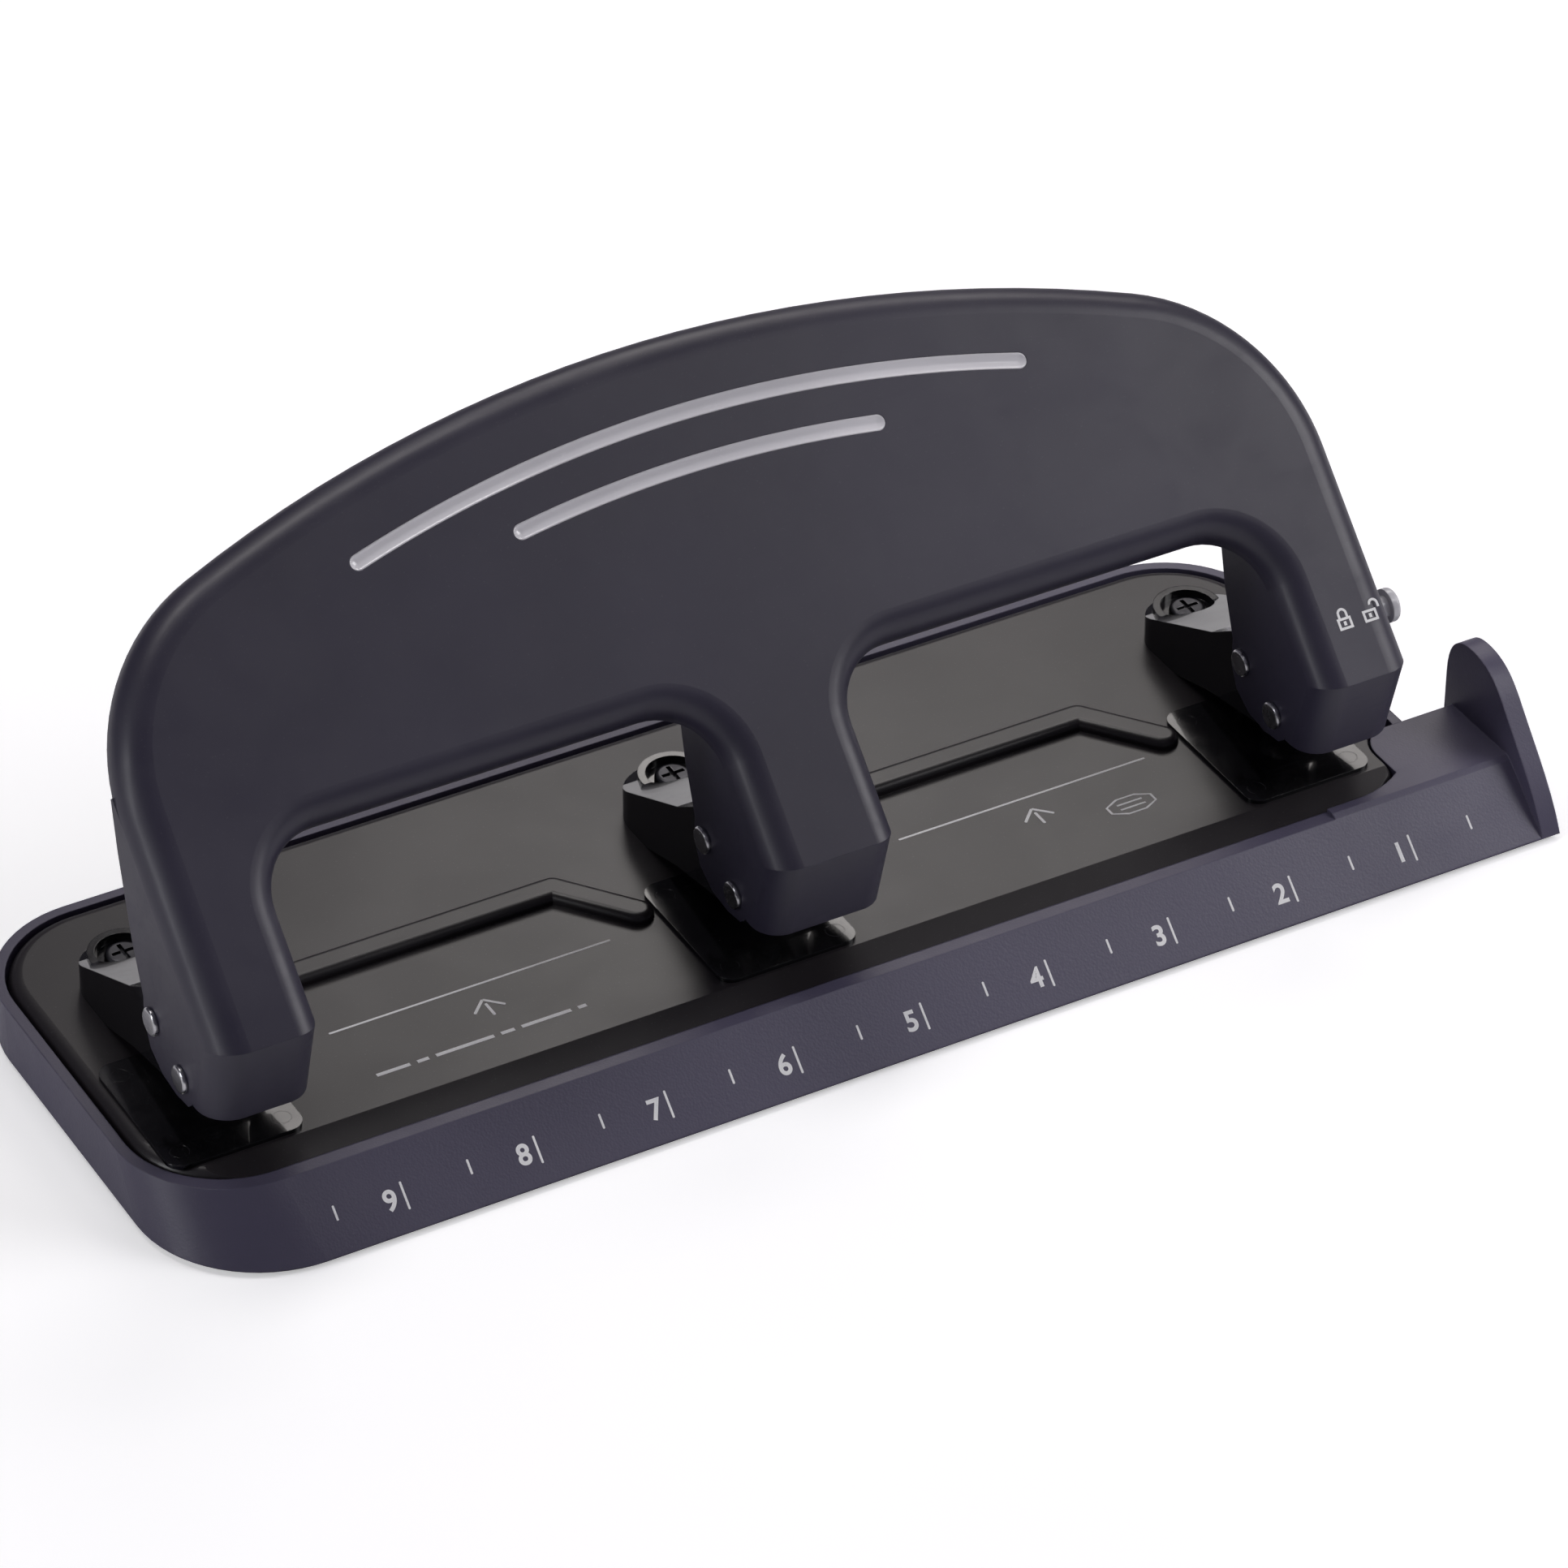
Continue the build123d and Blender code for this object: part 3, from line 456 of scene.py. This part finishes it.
def printing_ink(name, colour):
    """Pad-printed ink: slightly patchy, thinner in pinholes, with a soft surface."""
    material, tree, shader = start_finish(name)
    where = object_point(tree)
    thin = ramp_value(tree, noise(tree, where, 2400.0, 3.0, 0.6), 0.60, 0.72)
    patch = ramp_value(tree, noise(tree, where, 160.0, 2.0, 0.5), 0.3, 0.7)
    ink = blend_colour(tree, patch, shaded(colour, 0.90), shaded(colour, 1.04))
    tree.links.new(blend_colour(tree, maths(tree, "MULTIPLY", thin, 0.4), ink, shaded(colour, 0.35)),
                   shader.inputs["Base Color"])
    tree.links.new(ramp_value(tree, patch, 0.0, 1.0, 0.42, 0.58), shader.inputs["Roughness"])
    bump = place(tree, "ShaderNodeBump", {}, {"Strength": 0.5, "Distance": 0.00001,
                                              "Height": noise(tree, where, 3600.0, 2.0, 0.5)})
    tree.links.new(bump.outputs[0], shader.inputs["Normal"])
    return material


def dress(material, *names):
    """Gives frame nodes their finish."""
    for name in names:
        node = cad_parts[name]
        if not node.material_slots:
            node.data.materials.append(material)
        for slot in node.material_slots:
            slot.material = material


def heads(stem):
    """A node's three names, one for each punching head."""
    return [f"{stem}_{side}" for side in ("left", "middle", "right")]


# ---- mesh helpers -------------------------------------------------------------------------------
def flat_face(origin, right, up):
    """Matrix of a flat face: its X runs right, its Y runs up and its Z points out of the surface."""
    right = right.normalized()
    up = up.normalized()
    out = right.cross(up)
    return Matrix((
        (right.x, up.x, out.x, origin.x),
        (right.y, up.y, out.y, origin.y),
        (right.z, up.z, out.z, origin.z),
        (0.0, 0.0, 0.0, 1.0),
    ))


def ruler_face():
    """The sloping front face of the tray, from its bottom edge, with X = 0 at the paper stop."""
    foot = Vector((STOP_FACE_X, RULER_FOOT.y, RULER_FOOT.z))
    return flat_face(foot, Vector((1, 0, 0)), RULER_TOP - RULER_FOOT)


def platform_face():
    """The paper platform, with X and Y from the middle punch."""
    origin = Vector((MIDDLE_PUNCH.x, MIDDLE_PUNCH.y, PLATFORM_Z))
    return flat_face(origin, Vector((1, 0, 0)), Vector((0, 1, 0)))


def panel_face():
    """The handle's front panel, from the panel's middle."""
    up = Vector((0, math.sin(PANEL_LEAN), math.cos(PANEL_LEAN)))
    return flat_face(PANEL_MIDDLE, Vector((1, 0, 0)), up)


def finish_piece(name, mesh, body, material, smooth=False):
    """Turns built mesh data into a piece that rides on a body."""
    bmesh.ops.recalc_face_normals(mesh, faces=mesh.faces)
    data = bpy.data.meshes.new(name)
    mesh.to_mesh(data)
    mesh.free()
    for polygon in data.polygons:
        polygon.use_smooth = smooth
    data.materials.append(material)
    piece = bpy.data.objects.new(name, data)
    bpy.context.scene.collection.objects.link(piece)
    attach(piece, body)
    return piece


def ink_band(mesh, face, inner, outer, closed=False):
    """Thin closed band of ink between two flat lines of the same number of points."""
    count = len(inner)
    rails = []
    for line, height in ((inner, INK_LIFT), (outer, INK_LIFT), (outer, -INK_SINK), (inner, -INK_SINK)):
        rails.append([mesh.verts.new(face @ Vector((x, y, height))) for x, y in line])
    last = count if closed else count - 1
    for step in range(last):
        after = (step + 1) % count
        for side in range(4):
            low, high = rails[side], rails[(side + 1) % 4]
            mesh.faces.new((low[step], low[after], high[after], high[step]))
    if not closed:
        mesh.faces.new([rail[0] for rail in rails])
        mesh.faces.new([rail[-1] for rail in reversed(rails)])


def ink_line(mesh, face, start, end, width):
    """Straight printed line with slightly narrowed ends."""
    start = Vector(start)
    end = Vector(end)
    along = (end - start).normalized()
    side = Vector((-along.y, along.x)) * (width / 2)
    tip = along * (width * 0.35)
    centres = ((start, 0.55), (start + tip, 1.0), (end - tip, 1.0), (end, 0.55))
    inner = [centre + side * share for centre, share in centres]
    outer = [centre - side * share for centre, share in centres]
    ink_band(mesh, face, inner, outer)


def ink_loop(mesh, face, points, width):
    """Closed printed outline, drawn inwards from its points."""
    middle = sum((Vector(point) for point in points), Vector((0, 0))) / len(points)
    inner = []
    for point in points:
        reach = Vector(point) - middle
        inner.append(middle + reach * (1 - width / reach.length))
    ink_band(mesh, face, inner, points, closed=True)


def ink_block(mesh, face, low, high):
    """Solid printed rectangle."""
    ink_band(mesh, face, [(low[0], low[1]), (high[0], low[1])], [(low[0], high[1]), (high[0], high[1])])


def ink_figure(mesh, face, text, height, right_end, foot):
    """Printed figure whose right end and foot are given on the face."""
    curve = bpy.data.curves.new("figure", "FONT")
    curve.body = text
    curve.size = height / 0.70
    curve.align_x = "RIGHT"
    curve.offset = height * 0.035
    curve.extrude = (INK_LIFT + INK_SINK) / 2
    curve.resolution_u = 6
    holder = bpy.data.objects.new("figure", curve)
    bpy.context.scene.collection.objects.link(holder)
    bpy.context.view_layer.update()
    drawn = holder.evaluated_get(bpy.context.evaluated_depsgraph_get())
    data = bpy.data.meshes.new_from_object(drawn)
    centre = Vector((right_end, foot, (INK_LIFT - INK_SINK) / 2))
    data.transform(face @ Matrix.Translation(centre))
    mesh.from_mesh(data)
    bpy.data.objects.remove(holder)
    bpy.data.curves.remove(curve)
    bpy.data.meshes.remove(data)


# ---- operators ----------------------------------------------------------------------------------
class PUNCH_OT_handle_paint(bpy.types.Operator):
    """Satin slate paint on the pressed handle"""

    bl_idname = "paper_punch.handle_paint"
    bl_label = "Handle Paint"

    def execute(self, context):
        finishes = context.scene.punch_finishes
        paint = painted_sheet("handle_satin_paint", finishes.handle_colour, 0.44, 0.10, 0.24, 0.000009)
        dress(paint, "handle_shell")
        return {"FINISHED"}


class PUNCH_OT_groove_linings(bpy.types.Operator):
    """Smooth concave beds of the two curved grooves in the handle, coloured pale as a painted highlight of
    the light their walls catch
    """

    bl_idname = "paper_punch.groove_linings"
    bl_label = "Groove Linings"

    def execute(self, context):
        finishes = context.scene.punch_finishes
        # the pale, glossy colour of the groove beds is a painted highlight of the light their lower walls
        # catch
        paint = painted_sheet("groove_painted_highlight", finishes.groove_colour, 0.22, 0.8, 0.10, 0.000004,
                              dust_drift=120.0, wear=0.4, smudge_spread=160.0)
        for name, below, half_length in GROOVES:
            finish_piece(f"groove_lining_{name}", groove_bed(below, half_length), "handle",
                         paint, smooth=True)
        return {"FINISHED"}


def groove_bed(below, half_length):
    """Bed of one groove: concave across, with bowl-shaped ends."""
    radius = ARCH_RADIUS - below
    face = panel_face()
    half_angle = math.asin(half_length / radius)
    end_angle = GROOVE_HALF_WIDTH / radius
    stations = [(-half_angle - end_angle * math.cos(math.radians(turn)),
                 math.cos(math.radians(turn))) for turn in range(8, 90, 9)]
    run_steps = 64
    stations += [(-half_angle + 2 * half_angle * step / run_steps, 0.0) for step in range(run_steps + 1)]
    stations += [(-angle, past) for angle, past in reversed(stations[:10])]
    across = [step / 5 for step in range(-5, 6)]
    mesh = bmesh.new()
    tops = []
    beds = []
    for angle, past in stations:
        half_width = GROOVE_HALF_WIDTH * math.sqrt(1 - past * past)
        top_row = []
        bed_row = []
        for share in across:
            offset = share * half_width
            spread = past * past + (offset / GROOVE_HALF_WIDTH) ** 2
            depth = GROOVE_LIP + GROOVE_DIP * (1 - spread)
            reach = radius + offset
            x = reach * math.sin(angle)
            y = ARCH_APEX - ARCH_RADIUS + reach * math.cos(angle)
            top_row.append(mesh.verts.new(face @ Vector((x, y, -depth))))
            bed_row.append(mesh.verts.new(face @ Vector((x, y, -GROOVE_FLOOR))))
        tops.append(top_row)
        beds.append(bed_row)
    for here, after in zip(range(len(stations)), range(1, len(stations))):
        for side in range(len(across) - 1):
            mesh.faces.new((tops[here][side], tops[after][side], tops[after][side + 1],
                            tops[here][side + 1]))
            mesh.faces.new((beds[here][side], beds[here][side + 1], beds[after][side + 1],
                            beds[after][side]))
        for side in (0, -1):
            mesh.faces.new((tops[here][side], beds[here][side], beds[after][side], tops[after][side]))
    for end in (0, -1):
        for side in range(len(across) - 1):
            mesh.faces.new((tops[end][side], tops[end][side + 1], beds[end][side + 1], beds[end][side]))
    return mesh


class PUNCH_OT_plate_paint(bpy.types.Operator):
    """Near-black semi-gloss paint on the paper platform"""

    bl_idname = "paper_punch.plate_paint"
    bl_label = "Plate Paint"

    def execute(self, context):
        finishes = context.scene.punch_finishes
        paint = painted_sheet("plate_semigloss_paint", finishes.plate_colour, 0.34, 0.10, 0.20, 0.000006,
                              dust_drift=26.0, wear=0.6, smudge_spread=40.0, smudge_share=0.4)
        dress(paint, "base_plate")
        return {"FINISHED"}


class PUNCH_OT_head_paint(bpy.types.Operator):
    """Gloss black paint on the brackets, die plates and their rivets"""

    bl_idname = "paper_punch.head_paint"
    bl_label = "Head Paint"

    def execute(self, context):
        finishes = context.scene.punch_finishes
        paint = painted_sheet("head_gloss_paint", finishes.head_colour, 0.16, 0.5, 0.05, 0.000006,
                              dust_drift=60.0, wear=0.5, smudge_spread=110.0)
        dress(paint, "die_rivets", *heads("head_bracket"), *heads("die_plate"))
        return {"FINISHED"}


class PUNCH_OT_tray_plastic(bpy.types.Operator):
    """Grained plastic of the tray, paper stop and chip door, and the rubber feet"""

    bl_idname = "paper_punch.tray_plastic"
    bl_label = "Tray Plastic"

    def execute(self, context):
        finishes = context.scene.punch_finishes
        plastic = moulded_plastic("tray_moulded_plastic", finishes.tray_colour, 0.40, 0.000014)
        dress(plastic, "base_tray", "chip_door")
        dress(foot_rubber("foot_rubber", finishes.rubber_colour), "rubber_feet")
        return {"FINISHED"}


class PUNCH_OT_lock_plastic(bpy.types.Operator):
    """Pale glossy plastic of the lock button"""

    bl_idname = "paper_punch.lock_plastic"
    bl_label = "Lock Plastic"

    def execute(self, context):
        finishes = context.scene.punch_finishes
        dress(moulded_plastic("lock_pale_plastic", finishes.lock_colour, 0.18, 0.000004), "lock_button")
        return {"FINISHED"}


class PUNCH_OT_steel_parts(bpy.types.Operator):
    """Ground and blackened steel of the pins, punches, springs and fasteners"""

    bl_idname = "paper_punch.steel_parts"
    bl_label = "Steel Parts"

    def execute(self, context):
        finishes = context.scene.punch_finishes
        bright = ground_metal("ground_bright_steel", finishes.steel_colour, 0.24, 0.72)
        dark = ground_metal("blackened_steel", finishes.dark_steel_colour, 0.34, 0.55)
        dress(bright, *heads("punch_pin"), *heads("return_spring"),
              *heads("pivot_pin"), *heads("drive_pin"))
        dress(dark, "bracket_screws", "pivot_clips", "drive_clips", *heads("punch_guide"),
              *heads("punch_yoke"))
        return {"FINISHED"}


class PUNCH_OT_ruler_marks(bpy.types.Operator):
    """Ticks and figures on the tray's sloping front face"""

    bl_idname = "paper_punch.ruler_marks"
    bl_label = "Ruler Marks"

    def execute(self, context):
        marks = context.scene.punch_marks
        ink = printing_ink("white_ink", context.scene.punch_finishes.ink_colour)
        face = ruler_face()
        middle = RULER_MARK_MIDDLE
        ticks = bmesh.new()
        for halves in range(1, 20):
            x = -marks.inch * halves / 2
            whole = halves % 2 == 0
            length = marks.long_tick if whole else marks.short_tick
            centre = middle if whole else middle + SHORT_TICK_RISE
            ink_line(ticks, face, (x, centre - length / 2), (x, centre + length / 2), marks.tick_width)
        finish_piece("ruler_ticks", ticks, "base", ink)
        figures = bmesh.new()
        for number in range(1, 10):
            right_end = -marks.inch * number - marks.tick_width - FIGURE_GAP
            ink_figure(figures, face, str(number), marks.figure_height, right_end,
                       middle - marks.figure_height / 2)
        bmesh.ops.remove_doubles(figures, verts=figures.verts, dist=1e-7)
        finish_piece("ruler_figures", figures, "base", ink)
        return {"FINISHED"}


class PUNCH_OT_plate_guides(bpy.types.Operator):
    """Paper guide lines, arrows and plain blocks printed on the platform"""

    bl_idname = "paper_punch.plate_guides"
    bl_label = "Plate Guides"

    def execute(self, context):
        marks = context.scene.punch_marks
        ink = bpy.data.materials["white_ink"]
        face = platform_face()
        lines = bmesh.new()
        for left, right, y in GUIDE_LINES:
            ink_line(lines, face, (left, y), (right, y), marks.guide_width)
        finish_piece("guide_lines", lines, "base", ink)
        arrows = bmesh.new()
        width = marks.guide_width * 1.2
        for x, y in ARROW_TIPS:
            for side in (-1, 1):
                ink_line(arrows, face, (x + side * ARROW_BARB, y - ARROW_BARB), (x, y), width)
            ink_line(arrows, face, (x, y - ARROW_SHAFT[0]), (x, y - ARROW_SHAFT[1]), width)
        finish_piece("guide_arrows", arrows, "base", ink)
        dashes = bmesh.new()
        start = DASH_START
        for length in DASH_LENGTHS:
            ink_block(dashes, face, (start, DASH_LOW), (start + length, DASH_HIGH))
            start += length + DASH_GAP
        finish_piece("plain_dashes", dashes, "base", ink)
        badge = bmesh.new()
        centre = BADGE_MIDDLE
        corners = []
        for corner in range(8):
            turn = math.radians(22.5 + 45 * corner)
            corners.append((centre.x + BADGE_REACH[0] * math.cos(turn),
                            centre.y + BADGE_REACH[1] * math.sin(turn)))
        ink_loop(badge, face, corners, 0.00045)
        half_length, half_width = BADGE_ROW_HALF
        for row in (-BADGE_ROW_RISE, BADGE_ROW_RISE):
            ink_block(badge, face, (centre.x - half_length, centre.y + row - half_width),
                      (centre.x + half_length, centre.y + row + half_width))
        finish_piece("plain_badge", badge, "base", ink)
        return {"FINISHED"}


class PUNCH_OT_lock_marks(bpy.types.Operator):
    """Closed and open padlock marks beside the lock button"""

    bl_idname = "paper_punch.lock_marks"
    bl_label = "Lock Marks"

    def execute(self, context):
        ink = bpy.data.materials["white_ink"]
        height = context.scene.punch_marks.lock_mark_height
        mesh = bmesh.new()
        for x, shift in LOCK_MARKS:
            draw_padlock(mesh, panel_face(), (x, LOCK_MARK_FOOT), height, shift)
        finish_piece("lock_marks", mesh, "handle", ink)
        return {"FINISHED"}


def draw_padlock(mesh, face, foot, height, shift):
    """Padlock mark: a body with a keyhole gap under a shackle, which stands aside when open."""
    x, y = foot
    half = height * 0.34
    body_top = y + height * 0.52
    stroke = height * 0.11
    ink_band(mesh, face,
             [(x - half + stroke, y + stroke), (x + half - stroke, y + stroke),
              (x + half - stroke, body_top - stroke), (x - half + stroke, body_top - stroke)],
             [(x - half, y), (x + half, y), (x + half, body_top), (x - half, body_top)], closed=True)
    ink_block(mesh, face, (x - stroke * 0.6, y + height * 0.17), (x + stroke * 0.6, y + height * 0.35))
    centre = x + half * 2 * shift
    inner = []
    outer = []
    for step in range(13):
        turn = math.radians(180 * step / 12)
        reach = half * 0.72
        lift = body_top + height * 0.18
        outer.append((centre + reach * math.cos(turn), lift + reach * math.sin(turn)))
        inner.append((centre + (reach - stroke) * math.cos(turn), lift + (reach - stroke) * math.sin(turn)))
    outer = [(outer[0][0], body_top)] + outer
    inner = [(inner[0][0], body_top)] + inner
    if not shift:
        outer.append((outer[-1][0], body_top))
        inner.append((inner[-1][0], body_top))
    ink_band(mesh, face, inner, outer)


# ---- studio -------------------------------------------------------------------------------------
# name, direction from the punch, distance, width, height, watts, colour
SOFTBOXES = (
    ("key_softbox", (0.84, -0.40, 0.60), 1.25, 0.60, 0.80, 7.0, (1.0, 0.985, 1.0)),
    ("back_softbox", (0.55, 0.66, 0.72), 1.20, 0.70, 0.34, 2.6, (1.0, 0.955, 0.925)),
    ("left_strip", (-0.95, 0.02, 0.34), 1.20, 0.20, 0.70, 3.2, (0.96, 0.97, 1.0)),
    ("top_strip", (-0.05, 0.40, 0.92), 1.30, 0.80, 0.30, 4.0, (1.0, 0.97, 0.95)),
)


class PUNCH_OT_studio(bpy.types.Operator):
    """Pale floor, soft lights and camera"""

    bl_idname = "paper_punch.studio"
    bl_label = "Studio"

    def execute(self, context):
        studio = context.scene.punch_studio
        context.scene.view_settings.view_transform = "Standard"
        pour_floor(studio.floor_colour)
        for name, towards, distance, width, height, watts, colour in SOFTBOXES:
            hang_softbox(name, towards, distance, width, height, watts * studio.light_strength, colour)
        light_room(context.scene)
        set_camera(context.scene, studio)
        return {"FINISHED"}


def pour_floor(colour):
    """Large round pale floor that rises gently far from the punch."""
    mesh = bmesh.new()
    # radius and height of each ring, from the middle out
    rings = ((0.0, 0.0), (0.6, 0.0), (1.4, 0.0), (2.6, 0.0), (3.4, 0.12), (4.0, 0.55))
    segments = 64
    middle = mesh.verts.new((0.0, 0.0, 0.0))
    before = None
    for radius, height in rings[1:]:
        ring = [mesh.verts.new((radius * math.cos(math.tau * step / segments),
                                radius * math.sin(math.tau * step / segments), height))
                for step in range(segments)]
        for step in range(segments):
            after = (step + 1) % segments
            if before is None:
                mesh.faces.new((middle, ring[step], ring[after]))
            else:
                mesh.faces.new((before[step], ring[step], ring[after], before[after]))
        before = ring
    data = bpy.data.meshes.new("floor")
    mesh.to_mesh(data)
    mesh.free()
    material, tree, shader = start_finish("pale_paper_floor")
    mottle = ramp_value(tree, noise(tree, object_point(tree), 9.0, 3.0, 0.5), 0.3, 0.7)
    tree.links.new(blend_colour(tree, mottle, shaded(colour, 0.985), shaded(colour, 1.01)),
                   shader.inputs["Base Color"])
    shader.inputs["Roughness"].default_value = 0.9
    shader.inputs["Specular IOR Level"].default_value = 0.1
    seen = place(tree, "ShaderNodeLightPath").outputs["Is Camera Ray"]
    shader.inputs["Emission Color"].default_value = (1.0, 1.0, 1.0, 1.0)
    tree.links.new(maths(tree, "MULTIPLY", seen, FLOOR_GLOW), shader.inputs["Emission Strength"])
    data.materials.append(material)
    floor = bpy.data.objects.new("floor", data)
    bpy.context.scene.collection.objects.link(floor)


def hang_softbox(name, towards, distance, width, height, watts, colour):
    """Rectangular area light that faces the punch."""
    light = bpy.data.lights.new(name, "AREA")
    light.shape = "RECTANGLE"
    light.size = width
    light.size_y = height
    light.energy = watts
    light.color = colour
    holder = bpy.data.objects.new(name, light)
    bpy.context.scene.collection.objects.link(holder)
    aim = Vector(towards).normalized()
    holder.location = aim * distance + Vector((0.0, 0.0, FRAME_HIGH.z / 2))
    holder.rotation_euler = aim.to_track_quat("Z", "Y").to_euler()


def light_room(scene):
    """Room around the punch: white where the camera looks at it, nearly black in reflections."""
    world = bpy.data.worlds.new("studio_room")
    scene.world = world
    world.use_nodes = True
    tree = world.node_tree
    tree.nodes.clear()
    towards = place(tree, "ShaderNodeTexCoord").outputs["Generated"]
    height = place(tree, "ShaderNodeSeparateXYZ", {}, {0: towards}).outputs["Z"]
    rise = ramp_value(tree, height, -0.15, 0.9)
    bands = blend_colour(tree, rise, (0.03, 0.028, 0.038, 1.0), (0.10, 0.095, 0.115, 1.0))
    reflected = place(tree, "ShaderNodeBackground", {}, {"Color": bands, "Strength": 1.0})
    seen = place(tree, "ShaderNodeBackground", {}, {"Color": (1.0, 1.0, 1.0, 1.0), "Strength": 1.0})
    direct = place(tree, "ShaderNodeLightPath").outputs["Is Camera Ray"]
    mixed = place(tree, "ShaderNodeMixShader", {}, {0: direct, 1: reflected.outputs[0], 2: seen.outputs[0]})
    output = place(tree, "ShaderNodeOutputWorld")
    tree.links.new(mixed.outputs[0], output.inputs["Surface"])


def set_camera(scene, studio):
    """Camera that looks at a point a little above the platform."""
    turn = studio.camera_azimuth
    lift = studio.camera_elevation
    back = Vector((math.sin(turn) * math.cos(lift), -math.cos(turn) * math.cos(lift), math.sin(lift)))
    level = Vector((math.cos(turn), math.sin(turn), 0.0))
    upright = back.cross(level)
    roll = studio.camera_roll
    right = level * math.cos(roll) + upright * math.sin(roll)
    up = upright * math.cos(roll) - level * math.sin(roll)
    aim = Vector((MIDDLE_PUNCH.x + AIM_RIGHT, TRAY_LOW.y + AIM_BACK, AIM_HEIGHT))
    camera_data = bpy.data.cameras.new("camera")
    camera_data.lens = studio.camera_lens
    camera_data.sensor_width = 36.0
    camera = bpy.data.objects.new("camera", camera_data)
    scene.collection.objects.link(camera)
    place_at = aim + back * studio.camera_distance
    camera.matrix_world = Matrix((
        (right.x, up.x, back.x, place_at.x),
        (right.y, up.y, back.y, place_at.y),
        (right.z, up.z, back.z, place_at.z),
        (0.0, 0.0, 0.0, 1.0),
    ))
    scene.camera = camera


# ---- panel and registration ---------------------------------------------------------------------
PIECE_OPERATORS = (
    PUNCH_OT_handle_paint,
    PUNCH_OT_groove_linings,
    PUNCH_OT_plate_paint,
    PUNCH_OT_head_paint,
    PUNCH_OT_tray_plastic,
    PUNCH_OT_lock_plastic,
    PUNCH_OT_steel_parts,
    PUNCH_OT_ruler_marks,
    PUNCH_OT_plate_guides,
    PUNCH_OT_lock_marks,
    PUNCH_OT_studio,
)


class PUNCH_PT_sidebar(bpy.types.Panel):
    """Finishes, marks and studio of the paper punch"""

    bl_idname = "PUNCH_PT_sidebar"
    bl_label = "Paper Punch"
    bl_space_type = "VIEW_3D"
    bl_region_type = "UI"
    bl_category = "Paper Punch"

    def draw(self, context):
        layout = self.layout
        for group in (context.scene.punch_finishes, context.scene.punch_marks, context.scene.punch_studio):
            column = layout.box().column()
            for name in group.__annotations__:
                column.prop(group, name)
        for operator in PIECE_OPERATORS:
            layout.operator(operator.bl_idname)


CLASSES = (PunchFinishes, PunchMarks, PunchStudio) + PIECE_OPERATORS + (PUNCH_PT_sidebar,)


def register():
    for cls in CLASSES:
        bpy.utils.register_class(cls)
    bpy.types.Scene.punch_finishes = PointerProperty(type=PunchFinishes)
    bpy.types.Scene.punch_marks = PointerProperty(type=PunchMarks)
    bpy.types.Scene.punch_studio = PointerProperty(type=PunchStudio)


def unregister():
    del bpy.types.Scene.punch_studio
    del bpy.types.Scene.punch_marks
    del bpy.types.Scene.punch_finishes
    for cls in reversed(CLASSES):
        bpy.utils.unregister_class(cls)


def main():
    register()
    bpy.ops.paper_punch.handle_paint()
    bpy.ops.paper_punch.groove_linings()
    bpy.ops.paper_punch.plate_paint()
    bpy.ops.paper_punch.head_paint()
    bpy.ops.paper_punch.tray_plastic()
    bpy.ops.paper_punch.lock_plastic()
    bpy.ops.paper_punch.steel_parts()
    bpy.ops.paper_punch.ruler_marks()
    bpy.ops.paper_punch.plate_guides()
    bpy.ops.paper_punch.lock_marks()
    bpy.ops.paper_punch.studio()


if __name__ == "__main__":
    main()
